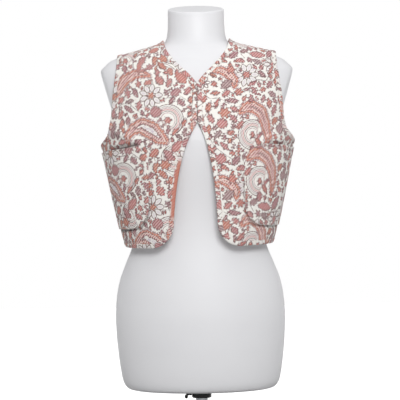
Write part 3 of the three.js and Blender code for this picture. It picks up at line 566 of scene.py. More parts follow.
def print_fields(across, up):
    """Signed distances to each kind of shape in the print, and the nearest one's tint."""
    fields = {name: np.full(across.shape, FAR) for name in ("leaf", "swoosh", "eye", "petal", "stem")}
    fields["tint"] = np.full(across.shape, 0.5)

    def near(x0, y0, reach):
        x, y = wrapped(across, x0, REPEAT[0]), wrapped(up, y0, REPEAT[1])
        mask = (np.abs(x) < reach) & (np.abs(y) < reach)
        return mask, x[mask], y[mask]

    def nearest(name, mask, distance, tint=None):
        old = fields[name][mask]
        fields[name][mask] = np.minimum(old, distance)
        if tint is not None:
            fields["tint"][mask] = np.where(distance < old, tint, fields["tint"][mask])

    charted = [(name, *row) for name, rows in SHAPES.items() for row in rows]
    for name, x0, y0, length, width, turn, tint in (*charted, *FILLERS):
        mask, x, y = near(x0, y0, length)
        nearest("leaf", mask, shape_distance(name, *turned(x, y, turn), length, width), tint)
    for x0, y0, radius, wide, tall, opening in EYES:
        mask, x, y = near(x0, y0, radius * 1.6)
        toward, _ = turned(x, y, opening)
        nearest("eye", mask, np.hypot(x, y) - radius + 5 * np.maximum(0, toward - 0.2 * radius))
        nearest("leaf", mask, shape_distance("rosette", x, y, 2 * wide, 2 * tall), 0.66)
    for x0, y0, radius, count, tint in FLOWERS:
        mask, x, y = near(x0, y0, radius * 1.5)
        angle, away = np.arctan2(y, x), np.hypot(x, y)
        step = 2 * math.pi / count
        fold = (angle + step / 2) % step - step / 2
        along, aside = away * np.cos(fold) - radius * 0.66, away * np.sin(fold)
        nearest("petal", mask, leaf_distance(along, aside, radius * 0.72, radius * 0.42))
        nearest("leaf", mask, shape_distance("rosette", x, y, radius * 0.8, radius * 0.72), tint)
    for spine in SWOOSHES:
        x0, y0 = spine[len(spine) // 2][:2]
        mask, x, y = near(x0, y0, 70)
        nearest("swoosh", mask, capsule_chain(x + x0, y + y0, spine))
    for line in STEMS:
        x0, y0 = line[len(line) // 2]
        mask, x, y = near(x0, y0, 50)
        spine = [(px, py, 0) for px, py in through(line, 18)]
        nearest("stem", mask, capsule_chain(x + x0, y + y0, spine))
    return fields


def fill_gaps():
    """Small leaves, set one after another where the repeat is emptiest."""
    across, up = np.meshgrid(*(np.arange(0, size, FILL["step"]) for size in REPEAT), indexing="ij")
    fields = print_fields(across, up)
    free = np.minimum.reduce([fields[name] for name in ("leaf", "swoosh", "petal", "eye")])
    free = np.minimum(free, fields["stem"] + FILL["off_stem"])
    for n in range(FILL["count"]):
        k = np.unravel_index(np.argmax(free), free.shape)
        room = min(FILL["most"], free[k])
        if room < FILL["least"]:
            break
        turn, name, tint = (row[n % len(row)] for row in (FILL_TURNS, FILL_NAMES, FILL_TINTS))
        length, width = 2.6 * room - 2.5, 1.5 * room - 1.5
        if name == "rosette":
            length, width = 1.7 * room, 1.5 * room
        x, y = wrapped(across, across[k], REPEAT[0]), wrapped(up, up[k], REPEAT[1])
        free = np.minimum(free, leaf_distance(*turned(x, y, turn), length, width))
        FILLERS.append((name, across[k], up[k], length, width, turn, tint))


# The cloth is taken to hang straight up to this height.
STRAIGHT_UP_TO = 560
GIRTH_STEPS = 12


def upward_length(depth_column):
    """Length of cloth up a line at a distance from the centre, above the hanging part."""
    across = np.linspace(0, 196, 99)[:, None]
    height = np.linspace(STRAIGHT_UP_TO, 700, 141)[None]
    inside = np.maximum(0, 1 - (across / vest_half(height)) ** 2)
    out = read(VEST_LEVELS, depth_column, height) * np.sqrt(inside)
    step = np.hypot(np.diff(out, axis=1), np.diff(height, axis=1))
    length = np.concatenate([np.zeros((len(across), 1)), np.cumsum(step, axis=1)], axis=1)
    return across[:, 0], height[0], length + STRAIGHT_UP_TO


def bilinear(xs, ys, table, x, y):
    i = np.clip((x - xs[0]) / (xs[1] - xs[0]), 0, len(xs) - 1.001)
    j = np.clip((y - ys[0]) / (ys[1] - ys[0]), 0, len(ys) - 1.001)
    a, b = i.astype(int), j.astype(int)
    s, t = i - a, j - b
    low = table[a, b] * (1 - s) + table[a + 1, b] * s
    high = table[a, b + 1] * (1 - s) + table[a + 1, b + 1] * s
    return low * (1 - t) + high * t


def cloth_place(turn, height):
    """Where a spot lies on the flat cloth: millimetres across from the centre, and up."""
    side = np.sin(turn)
    behind = np.cos(turn) < 0
    folded = np.arcsin(np.clip(np.abs(side), 0, 1))
    half = vest_half(height)
    out, up = np.zeros(turn.shape), height.copy()
    for column, mask in ((FRONT, ~behind), (BACK, behind)):
        depth = read(VEST_LEVELS, column, height)
        total = np.zeros(turn.shape)
        for k in range(GIRTH_STEPS):
            angle = folded * (k + 0.5) / GIRTH_STEPS
            total += np.hypot(half * np.cos(angle), depth * np.sin(angle)) * folded / GIRTH_STEPS
        out = np.where(mask, total, out)
        climbed = bilinear(*upward_length(column), half * np.abs(side), height)
        up = np.where(mask & (height > STRAIGHT_UP_TO), climbed, up)
    return out * np.sign(side), up


# Meshes


def linked(name, data):
    obj = bpy.data.objects.new(name, data)
    bpy.context.scene.collection.objects.link(obj)
    return obj


def mesh_object(name, points, quads, material, smooth=True):
    """An object from point and quad arrays in millimetres, its faces turned outwards."""
    points, quads = np.asarray(points, float), np.asarray(quads, int)
    a, b, c, d = (points[quads[:, n]] for n in range(4))
    volume = np.einsum("ij,ij->", a, np.cross(b, c)) + np.einsum("ij,ij->", a, np.cross(c, d))
    if volume < 0:
        quads = quads[:, ::-1]
    mesh = bpy.data.meshes.new(name)
    mesh.vertices.add(len(points))
    mesh.vertices.foreach_set("co", (points * MM).ravel())
    mesh.loops.add(quads.size)
    mesh.loops.foreach_set("vertex_index", quads.ravel())
    mesh.polygons.add(len(quads))
    mesh.polygons.foreach_set("loop_start", np.arange(len(quads)) * 4)
    mesh.update(calc_edges=True)
    mesh.validate()
    mesh.polygons.foreach_set("use_smooth", [smooth] * len(mesh.polygons))
    mesh.materials.append(material)
    return linked(name, mesh)


def grid_quads(rows, columns, start=0, around=False):
    """Quads over a grid of points; around joins the last column to the first."""
    j, i = np.meshgrid(np.arange(rows - 1), np.arange(columns if around else columns - 1), indexing="ij")

    def at(jj, ii):
        return start + jj * columns + ii % columns

    return np.stack([at(j, i), at(j, i + 1), at(j + 1, i + 1), at(j + 1, i)], axis=-1).reshape(-1, 4)


def shell(point, normal, inner, outer):
    """A closed wall over a grid, between two lifts, as points and quads."""
    rows, columns = point.shape[:2]
    count = rows * columns
    points = np.concatenate([
        (point + normal * np.asarray(outer)[..., None]).reshape(-1, 3),
        (point + normal * np.asarray(inner)[..., None]).reshape(-1, 3),
    ])
    front = grid_quads(rows, columns)
    back = grid_quads(rows, columns, count)[:, ::-1]
    index = np.arange(count).reshape(rows, columns)
    rim = np.concatenate([index[0, :-1], index[:-1, -1], index[-1, :0:-1], index[:0:-1, 0]])
    after = np.roll(rim, -1)
    edge = np.stack([after, rim, rim + count, after + count], axis=1)
    return points, np.concatenate([front, back, edge])


def set_values(obj, **columns):
    for name, values in columns.items():
        layer = obj.data.attributes.new(name, "FLOAT", "POINT")
        layer.data.foreach_set("value", np.asarray(values, np.float32).ravel())


def dye(obj, turn, height, cut_at):
    """Stores where each point of a shell lies on the flat cloth, how far it is from the print's
    shapes, and whether it is on the inside."""
    across, up = cloth_place(turn, height)
    across, up = across + cut_at[0], up + cut_at[1]
    columns = {**print_fields(across, up), "across": across, "up": up}
    both = {name: np.tile(value.ravel(), 2) for name, value in columns.items()}
    set_values(obj, inside=np.repeat([0.0, 1.0], turn.size), **both)


# Materials


class Nodes:
    """A node tree, with short calls for arithmetic and mixing."""

    def __init__(self, tree):
        self.tree = tree

    def node(self, kind, **settings):
        made = self.tree.nodes.new(kind)
        for key, value in settings.items():
            setattr(made, key, value)
        return made

    def put(self, socket, value):
        if isinstance(value, bpy.types.NodeSocket):
            self.tree.links.new(value, socket)
        else:
            socket.default_value = value

    def value(self, name):
        return self.node("ShaderNodeAttribute", attribute_name=name).outputs["Fac"]

    def math(self, operation, *values):
        made = self.node("ShaderNodeMath", operation=operation)
        for socket, value in zip(made.inputs, values):
            self.put(socket, value)
        return made.outputs[0]

    def times(self, first, second):
        return self.math("MULTIPLY", first, second)

    def plus(self, first, second):
        return self.math("ADD", first, second)

    def mix(self, share, first, second):
        made = self.node("ShaderNodeMix", data_type="RGBA")
        for socket, value in zip((made.inputs[0], made.inputs[6], made.inputs[7]), (share, first, second)):
            self.put(socket, value)
        return made.outputs[2]

    def span(self, value, low, high, start=0.0, end=1.0, way="SMOOTHSTEP"):
        """Value carried from low..high to start..end."""
        made = self.node("ShaderNodeMapRange", interpolation_type=way)
        for socket, each in zip(made.inputs, (value, low, high, start, end)):
            self.put(socket, each)
        return made.outputs[0]

    def below(self, value, edge, soft=0.35):
        """One where value is under the edge, nought above."""
        return self.span(value, edge - soft, edge + soft, 1.0, 0.0)

    def band(self, value, middle, half, soft=0.3):
        away = self.math("ABSOLUTE", self.math("SUBTRACT", value, middle))
        return self.below(away, half, soft)

    def noise(self, coordinates, scale, detail=2.0, rough=0.5):
        made = self.node("ShaderNodeTexNoise")
        values = {"Vector": coordinates, "Scale": scale, "Detail": detail, "Roughness": rough}
        for name, each in values.items():
            self.put(made.inputs[name], each)
        return made.outputs[0]

    def ramp(self, value, stops):
        """A colour read off a row of stops, each a position and a colour."""
        made = self.node("ShaderNodeValToRGB")
        elements = made.color_ramp.elements
        while len(elements) < len(stops):
            elements.new(0.5)
        for element, (at, shade) in zip(elements, stops):
            element.position = at
            element.color = shade
        self.put(made.inputs[0], value)
        return made.outputs[0]

    def place(self, kind="Object"):
        return self.node("ShaderNodeTexCoord").outputs[kind]

    def part(self, vector, axis):
        made = self.node("ShaderNodeSeparateXYZ")
        self.put(made.inputs[0], vector)
        return made.outputs[axis]

    def joined(self, x, y, z=0.0):
        made = self.node("ShaderNodeCombineXYZ")
        for socket, each in zip(made.inputs, (x, y, z)):
            self.put(socket, each)
        return made.outputs[0]

    def bump(self, height, strength, distance, below=None):
        made = self.node("ShaderNodeBump")
        self.put(made.inputs["Height"], height)
        made.inputs["Strength"].default_value = strength
        made.inputs["Distance"].default_value = distance
        if below is not None:
            self.put(made.inputs["Normal"], below)
        return made.outputs[0]


class Shader(Nodes):
    """The nodes of a new material."""

    def __init__(self, name):
        self.material = bpy.data.materials.new(name)
        self.material.use_nodes = True
        super().__init__(self.material.node_tree)
        self.surface = self.tree.nodes["Principled BSDF"]

    def set(self, **values):
        for name, value in values.items():
            self.put(self.surface.inputs[name.replace("_", " ")], value)


def ink(red, green, blue):
    """A colour given as it shows on a screen, 0 to 255."""
    part = [c / 255 for c in (red, green, blue)]
    return (*[c / 12.92 if c <= 0.04045 else ((c + 0.055) / 1.055) ** 2.4 for c in part], 1.0)


GROUND = ink(246, 244, 239)
HALO = ink(228, 220, 216)
OUTLINE = ink(106, 68, 70)
GREY = ink(150, 130, 134)
CORAL = ink(206, 108, 94)
PINK = ink(202, 118, 120)
PALE = ink(241, 218, 210)
LILAC = ink(214, 200, 212)
MAUVE = ink(162, 100, 114)
ORANGE = ink(206, 118, 82)


PLAIN_CORAL = (ink(212, 150, 134), ink(192, 116, 98))
# Painted shade: the near-black laid into the cloth where it tucks in deep at the pockets.
PAINTED_TUCK_SHADE = ink(46, 34, 34)
FADED = ink(190, 178, 172)
# Rings of an eye: how far from its edge, half width, shade and strength.
EYE_RINGS = (
    (0.0, 0.9, OUTLINE, 1.0), (-3.4, 0.7, GREY, 0.9), (-6.4, 0.8, MAUVE, 1.0),
    (-9.4, 1.0, PINK, 0.9), (-12.4, 0.8, OUTLINE, 1.0), (-15.8, 0.7, MAUVE, 0.8),
)
TINTS = ((0.1, GREY), (0.3, MAUVE), (0.5, PINK), (0.72, CORAL), (0.98, ORANGE))
THREAD_PITCH = (0.62, 0.66)


def weave(shader, across, up):
    """The fine cross of threads, with a few thicker ones, as a height from 0 to 1."""
    warp, weft = (
        shader.math("ABSOLUTE", shader.math("SINE", shader.times(way, math.pi / pitch)))
        for way, pitch in zip((across, up), THREAD_PITCH)
    )
    slubs = shader.noise(shader.joined(shader.times(across, 0.06), up), 0.9, 3.0, 0.6)
    return shader.plus(shader.times(shader.plus(warp, weft), 0.35), shader.times(slubs, 0.5))


def print_material(name, solid=False):
    """The print as layers of ink over the ground, with painted shade in the deep tucks: each has a share, a
    shade and a strength.
    """
    shader = Shader(name)
    value, mix, times, plus = shader.value, shader.mix, shader.times, shader.plus
    below, band = shader.below, shader.band
    across, up = value("across"), value("up")
    flat = shader.joined(times(across, 0.01), times(up, 0.01))
    frill = plus(shader.noise(flat, 26.0, 2.0, 0.6), -0.5)
    leaf = plus(value("leaf"), shader.span(frill, -0.32, 0.32, -1.5, 3.6))
    swoosh = plus(value("swoosh"), shader.span(frill, -0.32, 0.32, -1.9, 2.3))
    petal, stem, eye = (plus(value(kind), times(frill, 1.8)) for kind in ("petal", "stem", "eye"))
    slant = plus(shader.math("SUBTRACT", across, up), times(frill, 1.6))
    strokes = shader.span(shader.math("SINE", times(slant, 1.02)), -0.3, 0.4)
    broken = plus(times(strokes, -0.5), 1.0)
    nearest = shader.math("MINIMUM", shader.math("MINIMUM", leaf, swoosh), petal)
    coral = mix(times(strokes, 0.65), mix(shader.noise(flat, 3.0, 3.0), CORAL, ORANGE), PALE)
    fill = shader.ramp(value("tint"), TINTS)
    layers = [(shader.span(nearest, 1.0, 3.4, 1.0, 0.0), HALO, 0.5)]
    for middle, half, shade, strength in EYE_RINGS:
        layers.append((times(band(eye, middle, half), broken), shade, strength))
    layers += [
        # pale petals with a dark rim and a blush towards the heart
        (below(petal, 0.0), GROUND, 1.0),
        (below(petal, -2.2, 1.0), LILAC, 0.55),
        (band(petal, 0.0, 0.75), OUTLINE, 0.85),
        # stems under the shapes
        (below(stem, 0.9, 0.35), OUTLINE, 0.7),
        # swooshes: a combed rim, a coral border, a pale line and a hatched heart with a pale core
        (times(band(swoosh, 1.7, 1.4), strokes), MAUVE, 0.75),
        (below(swoosh, 0.0), coral, 1.0),
        (band(swoosh, -4.4, 0.7), OUTLINE, 0.8),
        (band(swoosh, -5.9, 0.8), PALE, 1.0),
        (below(swoosh, -6.8, 0.5), mix(strokes, MAUVE, PALE), 0.85),
        (band(swoosh, -10.8, 0.8), OUTLINE, 0.85),
        (below(swoosh, -11.8, 0.5), GROUND, 1.0),
        (band(swoosh, -14.6, 0.9), LILAC, 1.0),
        (band(swoosh, 0.0, 0.7), OUTLINE, 0.7),
        # leaves, buds and rosettes: hatched, tinted from mauve to orange
        (below(leaf, 0.0), mix(times(strokes, 0.55), mix(0.2, fill, OUTLINE), PALE), 1.0),
        (band(leaf, 0.0, 0.85), OUTLINE, 0.9),
        (band(leaf, -3.8, 0.5), mix(0.5, fill, OUTLINE), 0.6),
    ]
    if solid:
        layers.append((value("solid"), mix(broken, *PLAIN_CORAL), 1.0))
    layers += [
        # painted shade, near-black along the deep tucks at the pocket mouths and under the pockets
        (value("shade"), PAINTED_TUCK_SHADE, 1.0),
        # the print shows paler from behind, and ink varies a little over the cloth
        (value("inside"), GROUND, 0.45),
        (shader.noise(flat, 9.0, 3.0), FADED, 0.16),
    ]
    colour = GROUND
    for share, shade, strength in layers:
        colour = mix(times(share, strength), colour, shade)
    height = weave(shader, across, up)
    soft = shader.bump(shader.noise(flat, 14.0, 4.0, 0.6), 0.25, 0.0012)
    shader.set(Base_Color=colour, Normal=shader.bump(height, 0.35, 0.00025, soft))
    shader.set(Roughness=shader.span(height, 0.2, 0.9, 0.92, 0.8), Specular_IOR_Level=0.2)
    shader.set(Sheen_Weight=0.06, Sheen_Roughness=0.5)
    return shader.material


def plain_material(name, colour, second, rough, metal=0.0, grain=40.0, bump=0.02):
    """A plain surface with a faint grain, colour drift and uneven polish."""
    shader = Shader(name)
    place = shader.place()
    fine = shader.noise(place, grain * 12, 3.0)
    broad = shader.noise(place, grain * 0.3, 3.0)
    shader.set(Base_Color=shader.mix(broad, colour, second))
    shader.set(Roughness=shader.span(fine, 0.3, 0.7, rough * 0.9, min(1.0, rough * 1.1)))
    shader.set(Normal=shader.bump(fine, bump, 0.0004), Metallic=metal)
    return shader.material


# The scene

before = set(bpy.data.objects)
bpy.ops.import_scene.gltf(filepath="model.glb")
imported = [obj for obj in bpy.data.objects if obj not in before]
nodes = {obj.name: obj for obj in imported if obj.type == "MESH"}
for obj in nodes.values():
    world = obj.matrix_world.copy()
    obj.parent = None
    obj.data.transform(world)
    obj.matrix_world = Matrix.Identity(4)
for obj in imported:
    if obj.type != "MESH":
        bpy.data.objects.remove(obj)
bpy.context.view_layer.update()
cloth_print = print_material("printed_cloth")
cloth_solid = print_material("printed_binding", solid=True)
white_shell = plain_material("form_white", ink(236, 236, 238), ink(229, 229, 232), 0.5, grain=30, bump=0.03)
chrome = plain_material("pole_steel", ink(196, 198, 201), ink(184, 186, 190), 0.16, 1.0, 60, 0.01)
black = plain_material("stand_black", ink(30, 30, 32), ink(38, 38, 40), 0.42, 0.2, 60, 0.05)
hook_steel = plain_material("hook_steel", ink(60, 58, 58), ink(84, 80, 78), 0.35, 0.9, 60, 0.02)
thread = plain_material("thread", ink(232, 222, 212), ink(208, 190, 184), 0.85, 0.0, 200, 0.1)


def declare(obj, node):
    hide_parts(node)
    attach(obj, "root")
    return obj


# Where on the print each piece is cut, in millimetres across and up.
CUT_AT = {
    "vest_back": (60, 30), "vest_front_right": (0, 0), "vest_front_left": (0, 0),
    "pocket_right": (94, 105), "pocket_left": (-13, 87),
    "binding_front_right": (-75, 40), "binding_front_left": (35, 40),
    "binding_armhole_right": (-90, 10), "binding_armhole_left": (90, 10),
    "binding_back_neck": (20, 60), "binding_back_hem": (70, 90),
}


def cut_sheet(obj, pieces=()):
    list(pieces)


def panel(node, spots):
    turn, height = spots[..., 0], spots[..., 1]
    point, normal = cloth(turn, height, (FOLDS, CREASES, TUCKS))
    points, quads = shell(point, normal, np.zeros(turn.shape), np.full(turn.shape, WALL))
    obj = mesh_object(f"{node}_cloth", points, quads, cloth_print)
    dye(obj, turn, height, CUT_AT[node])
    # Painted shade along the deep tucks at the pockets, kept as the shade value.
    set_values(obj, shade=np.tile(painted_tuck_shade(turn, height).ravel(), 2))
    return declare(obj, node)


def inward_steps(spots, ring, interior):
    """Per station of an edge, how its spot moves per millimetre square into the cloth."""
    point = plain_point(spots[:, 0], spots[:, 1])
    around, upward, normal = slopes(spots[:, 0], spots[:, 1])
    if ring:
        along = np.roll(point, -1, axis=0) - np.roll(point, 1, axis=0)
    else:
        along = np.gradient(point, axis=0)
    inward = unit(np.cross(normal, unit(along)))
    toward = plain_point(interior[:, 0], interior[:, 1]) - point
    inward *= math.copysign(1, np.sum(inward * toward))
    tt, th, hh, it, ih = (
        np.einsum("ij,ij->i", p, q)
        for p, q in ((around, around), (around, upward), (upward, upward), (inward, around), (inward, upward))
    )
    area = tt * hh - th * th
    return np.stack([(it * hh - ih * th) / area, (ih * tt - it * th) / area], axis=1)


# Distance in from the edge and lift off the cloth's inner face, once round the folded strip.
BINDING_SECTION = (
    (8.0, WALL + 0.32), (7.6, WALL + 0.85), (6.4, WALL + 1.15), (4.4, WALL + 1.3), (2.2, WALL + 1.35),
    (0.6, WALL + 1.3), (-0.7, WALL + 0.9), (-1.35, 0.7), (-0.7, -0.9), (0.6, -1.25), (3.5, -1.2),
    (6.8, -1.0), (7.8, -0.6), (7.8, -0.25), (4.0, -0.25), (0.2, -0.3), (-0.45, 0.7), (0.2, WALL + 0.3),
    (4.0, WALL + 0.25), (7.6, WALL + 0.25),
)


# The stretch of plain coral on one strip: its ends, how they fade, how wide it is and its edge.
PLAIN = {"node": "binding_front_right", "low": 325, "high": 448, "fade": 14, "wide": 5.6, "edge": 1.4}
STITCH = {"pitch": 3.4, "long": 2.4, "radius": 0.24, "lift": 0.06}


def binding(node, spots, interior, ring=False, limit=None):
    """A strip folded over an edge of the cloth, puckered a little along its length."""
    move = inward_steps(spots, ring, interior)
    into = np.array([row[0] for row in BINDING_SECTION])[None]
    lift = np.array([row[1] for row in BINDING_SECTION])[None]
    turn = spots[:, :1] + move[:, :1] * np.maximum(into, 0)
    height = spots[:, 1:] + move[:, 1:] * np.maximum(into, 0)
    if limit is not None:
        low, high = limit
        turn = np.clip(turn, low, high)
    point, normal = cloth(turn, height)
    edge, _ = cloth(spots[:, 0], spots[:, 1])
    inner, _ = cloth(spots[:, 0] + move[:, 0] * 2, spots[:, 1] + move[:, 1] * 2)
    away = unit(edge - inner)[:, None]
    run = length_along(edge)[:, None]
    pucker = 0.16 * np.sin(run / 2.3) * np.sin(run / 9.1 + 1) * (lift > WALL) * (into > 1)
    point = point + normal * (lift + pucker)[..., None] + away * np.maximum(-into, 0)[..., None]
    stations, sides = point.shape[:2]
    points = point.reshape(-1, 3)
    quads = grid_quads(stations, sides, around=True)
    if ring:
        last = (stations - 1) * sides
        s = np.arange(sides)
        after = (s + 1) % sides
        quads = np.vstack([quads, np.stack([last + s, last + after, after, s], axis=1)])
    else:
        start = np.arange(sides)
        caps = []
        for k in range(sides // 2 - 1):
            cap = [start[k], start[k + 1], start[sides - 2 - k], start[sides - 1 - k]]
            caps += [cap, [(stations - 1) * sides + n for n in cap[::-1]]]
        quads = np.vstack([quads, np.array(caps)])
    obj = mesh_object(f"{node}_strip", points, quads, cloth_solid)
    across = np.broadcast_to(into, turn.shape)
    along = np.broadcast_to(run, turn.shape)
    # cut on the bias: the strip's length runs up the print, and its width across it
    cut_at = CUT_AT[node]
    fields = print_fields(across * 0.9 + cut_at[0], along + cut_at[1])
    solid = np.zeros(turn.shape)
    if node == PLAIN["node"]:
        level = np.broadcast_to(spots[:, 1:], turn.shape)
        ends = np.minimum(PLAIN["high"] - level, level - PLAIN["low"]) / PLAIN["fade"]
        solid = np.clip(ends, 0, 1) * np.clip((PLAIN["wide"] - across) / PLAIN["edge"], 0, 1)
    set_values(obj, across=across, up=along, inside=np.zeros(across.size), solid=solid, **fields)
    line = 0.35 * point[:, 2] + 0.65 * point[:, 1]
    sewn = stitches(f"stitches_{node}", line, normal[:, 1])
    return declare(obj, node), sewn


def stitches(name, line, normal):
    """Short threads in a row along a line, each a little rod that dips at its ends."""
    path = line + normal * STITCH["lift"]
    length = length_along(path)
    count = int(length[-1] / STITCH["pitch"])
    middles = (np.arange(count) + 0.5) * length[-1] / count
    where = middles[:, None] + STITCH["long"] * np.array([-0.5, -0.34, 0, 0.34, 0.5])

    def read_at(table):
        return np.stack([np.interp(where, length, table[:, n]) for n in range(3)], axis=-1)

    centre, up = read_at(path), unit(read_at(normal))
    along = unit(np.gradient(centre, axis=1))
    aside = unit(np.cross(up, along))
    thick = STITCH["radius"] * np.array([0.3, 0.85, 1, 0.85, 0.3])[:, None, None]
    dip = np.array([-0.22, -0.04, 0.05, -0.04, -0.22])[:, None]
    angle = np.arange(6) * math.pi / 3
    ring = np.cos(angle)[:, None] * aside[:, :, None] + np.sin(angle)[:, None] * up[:, :, None]
    points = (centre + up * dip)[:, :, None] + ring * thick
    sides = grid_quads(5, 6, around=True)
    caps = [[0, 1, 2, 3], [0, 3, 4, 5], [27, 26, 25, 24], [29, 28, 27, 24]]
    quads = np.vstack([sides, caps])[None] + (np.arange(count) * 30)[:, None, None]
    obj = mesh_object(name, points.reshape(-1, 3), quads.reshape(-1, 4), thread)
    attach(obj, "root")
    return obj


def pocket(front):
    name = f"pocket_{front['name']}"
    spots = on_side(pocket_spots(front), front["side"])
    turn, height = spots[..., 0], spots[..., 1]
    point, normal = cloth(turn, height)
    rows, columns = turn.shape
    i = np.linspace(0, 1, columns)[None]
    j = np.linspace(0, 1, rows)[:, None]
    dome = (np.sin(math.pi * i) * np.sin(QUARTER * j)) ** 0.4
    bulge = POCKET["bulge"] * dome * (1 + 0.5 * np.sin(math.pi * j) ** 2)
    puckers = 0.35 * np.sin(i * 31 + j * 9) * np.sin(i * 17 + 2) * np.exp(-9 * j)
    inner = WALL + POCKET["gap"] + bulge + puckers
    outer = inner + POCKET["thick"]
    obj = mesh_object(f"{name}_cloth", *shell(point, normal, inner, outer), cloth_print)
    dye(obj, turn, height, CUT_AT[name])
    seam = [(j, 2) for j in range(rows - 4, 2, -1)] + [(2, i) for i in range(2, columns - 2)]
    mouth = [(rows - 7, i) for i in range(3, columns - 2)]
    face = point + normal * outer[..., None]
    sewn = []
    for part, cells in (("edge", seam), ("mouth", mouth)):
        at = tuple(np.array(cells).T)
        sewn.append(stitches(f"stitches_{name}_{part}", face[at], normal[at]))
    return declare(obj, name), sewn


# How many rows or columns in from an edge the spots lie that show which way is inward.
WITHIN = 8

fill_gaps()
back = back_spots()
back_cloth = panel("vest_back", back)
back_rows = slice(STEPS["side"] * BACK_FINE + 1, -1)
side_rows = STEPS["side"] * FINE
for front in FRONTS:
    side, name = front["side"], front["name"]
    spots = on_side(front_spots(front), side)
    front_cloth = panel(f"vest_front_{name}", spots)
    edge = np.vstack([spots[::-1, 0], spots[0, 1:]])
    within = np.vstack([spots[::-1, WITHIN], spots[WITHIN, 1:]])
    limit = sorted((0.0, side * (QUARTER - SEAM_TURN)))
    edging = binding(f"binding_front_{name}", edge, within, limit=limit)
    at_edge, at_within = (0, WITHIN) if side > 0 else (-1, -1 - WITHIN)
    hole = np.vstack([spots[side_rows:, -1], back[back_rows, at_edge][::-1]])
    within = np.vstack([spots[side_rows:, -1 - WITHIN], back[back_rows, at_within][::-1]])
    hole_strip = binding(f"binding_armhole_{name}", hole, within, ring=True)
    patch, thread_rows = pocket(front)
    cut_sheet(patch, thread_rows)
    cut_sheet(front_cloth, [*edging, *hole_strip])

middle = (back.shape[1] - 1) // 2
reach = BACK_STEPS["neck"] * BACK_FINE
neck = back[:, middle - reach : middle + reach + 1]
back_limit = (QUARTER + SEAM_TURN, 3 * QUARTER - SEAM_TURN)
neck_strip = binding("binding_back_neck", neck[-1], neck[-1 - WITHIN], limit=back_limit)
hem_strip = binding("binding_back_hem", back[0], back[WITHIN], limit=back_limit)
cut_sheet(back_cloth, [*neck_strip, *hem_strip])


def soft_min(a, b, soft):
    share = np.clip(0.5 + 0.5 * (b - a) / soft, 0, 1)
    return b * (1 - share) + a * share - soft * share * (1 - share)


# Columns round the form, and the heights of its rings: close at the foot and over the shoulders.
FORM_AROUND = 256
FORM_HEIGHTS = np.concatenate([
    [0, 0.6, 1.3, 2.2, 3.4, 5, 7, 10, 13, 16],
    np.arange(22, 476, 7), np.arange(478, 700, 2.4), np.arange(702, 722, 4),
])


def form_rings():
    """Rings up the form to its neck, with flat arm plates."""
    turn = (np.arange(FORM_AROUND) + 0.5) * 2 * math.pi / FORM_AROUND
    turns, levels = np.meshgrid(turn, FORM_HEIGHTS)
    rings = section_point(FORM_LEVELS, turns, levels)
    limit = ARM_PLATE["half"] + ARM_PLATE["slope"] * (levels - ARM_PLATE["height"])
    limit = limit + ARM_PLATE["forward"] * rings[..., 1]
    limit = np.where(levels > ARM_PLATE["bottom"], limit, 1e4)
    side = np.sign(rings[..., 0])
    rings[..., 0] = side * soft_min(np.abs(rings[..., 0]), limit, ARM_PLATE["round"])
    return rings, section_point(FORM_LEVELS, turn, np.full(FORM_AROUND, NECK_CAP["shape"]))


def form_body():
    """The dress form in fine rings, with a flat tilted neck cap."""
    rings, rim = form_rings()
    slope, soft, start = math.tan(NECK_CAP["tilt"]), NECK_CAP["round"], NECK_CAP["start"]

    def capped(scale, drop=0.0):
        ring = rim * np.array([scale, scale, 0])
        ring[:, 2] = NECK_CAP["height"] + ring[:, 1] * slope - drop
        return ring

    neck = [capped(1, soft) for _ in range(2)]
    for ring, share in zip(neck, (0.35, 0.7)):
        ring[:, 2] = start + (ring[:, 2] - start) * share
    for angle in np.radians((0, 22, 45, 67, 90)):
        neck.append(capped(1 - soft * (1 - math.cos(angle)) / 50, soft * (1 - math.sin(angle))))
    neck += [capped(scale) for scale in (0.85, 0.6, 0.3, 0.02)]
    base = [rings[0] * np.array([scale, scale, 1]) for scale in (0.02, 0.4, 0.8, 0.96)]
    grid = np.concatenate([base, rings, neck])
    points = grid.reshape(-1, 3) + np.array([0, 0, STAND_RISE])
    k = np.arange(FORM_AROUND // 2 - 1)
    cap = np.stack([k, k + 1, FORM_AROUND - 2 - k, FORM_AROUND - 1 - k], axis=1)
    top = (len(grid) - 1) * FORM_AROUND
    quads = np.vstack([grid_quads(len(grid), FORM_AROUND, around=True), cap[:, ::-1], cap + top])
    declare(mesh_object("dress_form_shell", points, quads, white_shell), "dress_form")


form_body()
HARDWARE = {
    "base_plate": black, "pole_boss": black, "pole": chrome, "socket_collar": black,
    "fixing_plate": black, "clamp_screw": black, "front_hook": hook_steel, "front_eye": hook_steel,
}
for name, material in HARDWARE.items():
    for slot in nodes[name].material_slots:
        slot.material = material


# Stage, light and camera

# How bright the surroundings are, from level up to straight overhead.
SKY = ((0.13, 1.0), (0.24, 0.1), (0.5, 0.14), (1.0, 1.9))
# How much of that there is from in front, where the backdrop isn't.
SKY_AHEAD = 0.5
KEY = {"place": Vector((0.2, -1.95, 1.42)), "aim": Vector((0, 0, 0.72)), "size": 0.9, "power": 28.0}
WHITE = (1.0, 1.0, 1.0, 1.0)
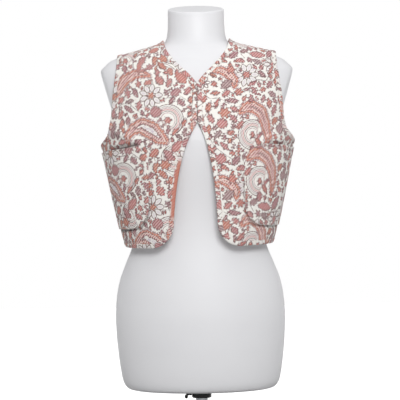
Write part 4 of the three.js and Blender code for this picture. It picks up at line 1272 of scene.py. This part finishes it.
# How far the floor reaches, its level and shade, and where it runs into the backdrop, in metres.
FLOOR = {"reach": 4000, "level": -0.5, "shade": (0.5, 0.5, 0.5, 1.0), "glow": (0.4, 0.7)}


def studio():
    """A plain floor that runs into a white backdrop, a soft key light from above the front and
    dim light all round."""
    look = Shader("floor")
    glow = look.span(look.part(look.place(), 1), *FLOOR["glow"])
    look.set(Base_Color=FLOOR["shade"], Roughness=0.8, Emission_Color=WHITE, Emission_Strength=glow)
    reach, level = FLOOR["reach"], FLOOR["level"]
    corners = [(x * reach, y * reach, level) for x, y in ((-1, -1), (1, -1), (1, 1), (-1, 1))]
    mesh_object("floor", corners, [(0, 1, 2, 3)], look.material, smooth=False)
    world = bpy.data.worlds.new("studio")
    world.use_nodes = True
    sky = Nodes(world.node_tree)
    toward = sky.place("Generated")
    stops = [(at, (strength, strength, strength, 1.0)) for at, strength in SKY]
    around = sky.ramp(sky.math("ABSOLUTE", sky.part(toward, 2)), stops)
    behind = sky.span(sky.part(toward, 1), -0.3, 0.3, SKY_AHEAD, 1.0, "LINEAR")
    light = sky.tree.nodes["Background"]
    light.inputs["Color"].default_value = WHITE
    sky.put(light.inputs["Strength"], sky.math("MULTIPLY", around, behind))
    bpy.context.scene.world = world
    data = bpy.data.lights.new("key", "AREA")
    data.shape = "DISK"
    data.size = KEY["size"]
    data.energy = KEY["power"]
    lamp = linked("key", data)
    lamp.location = KEY["place"]
    lamp.rotation_euler = (KEY["aim"] - KEY["place"]).to_track_quat("-Z", "Y").to_euler()


CAMERA = {"distance": 3.0, "height": 0.4844, "across": 0.0025, "lens": 138.5, "roll": 0.9}


def camera():
    data = bpy.data.cameras.new("camera")
    data.lens = CAMERA["lens"]
    data.sensor_width = 36
    data.clip_start = 0.1
    data.clip_end = 50
    obj = linked("camera", data)
    obj.location = (CAMERA["across"], -CAMERA["distance"], CAMERA["height"])
    obj.rotation_euler = (QUARTER, math.radians(CAMERA["roll"]), 0)
    bpy.context.scene.camera = obj


studio()
camera()
bpy.context.scene.view_settings.view_transform = "Standard"
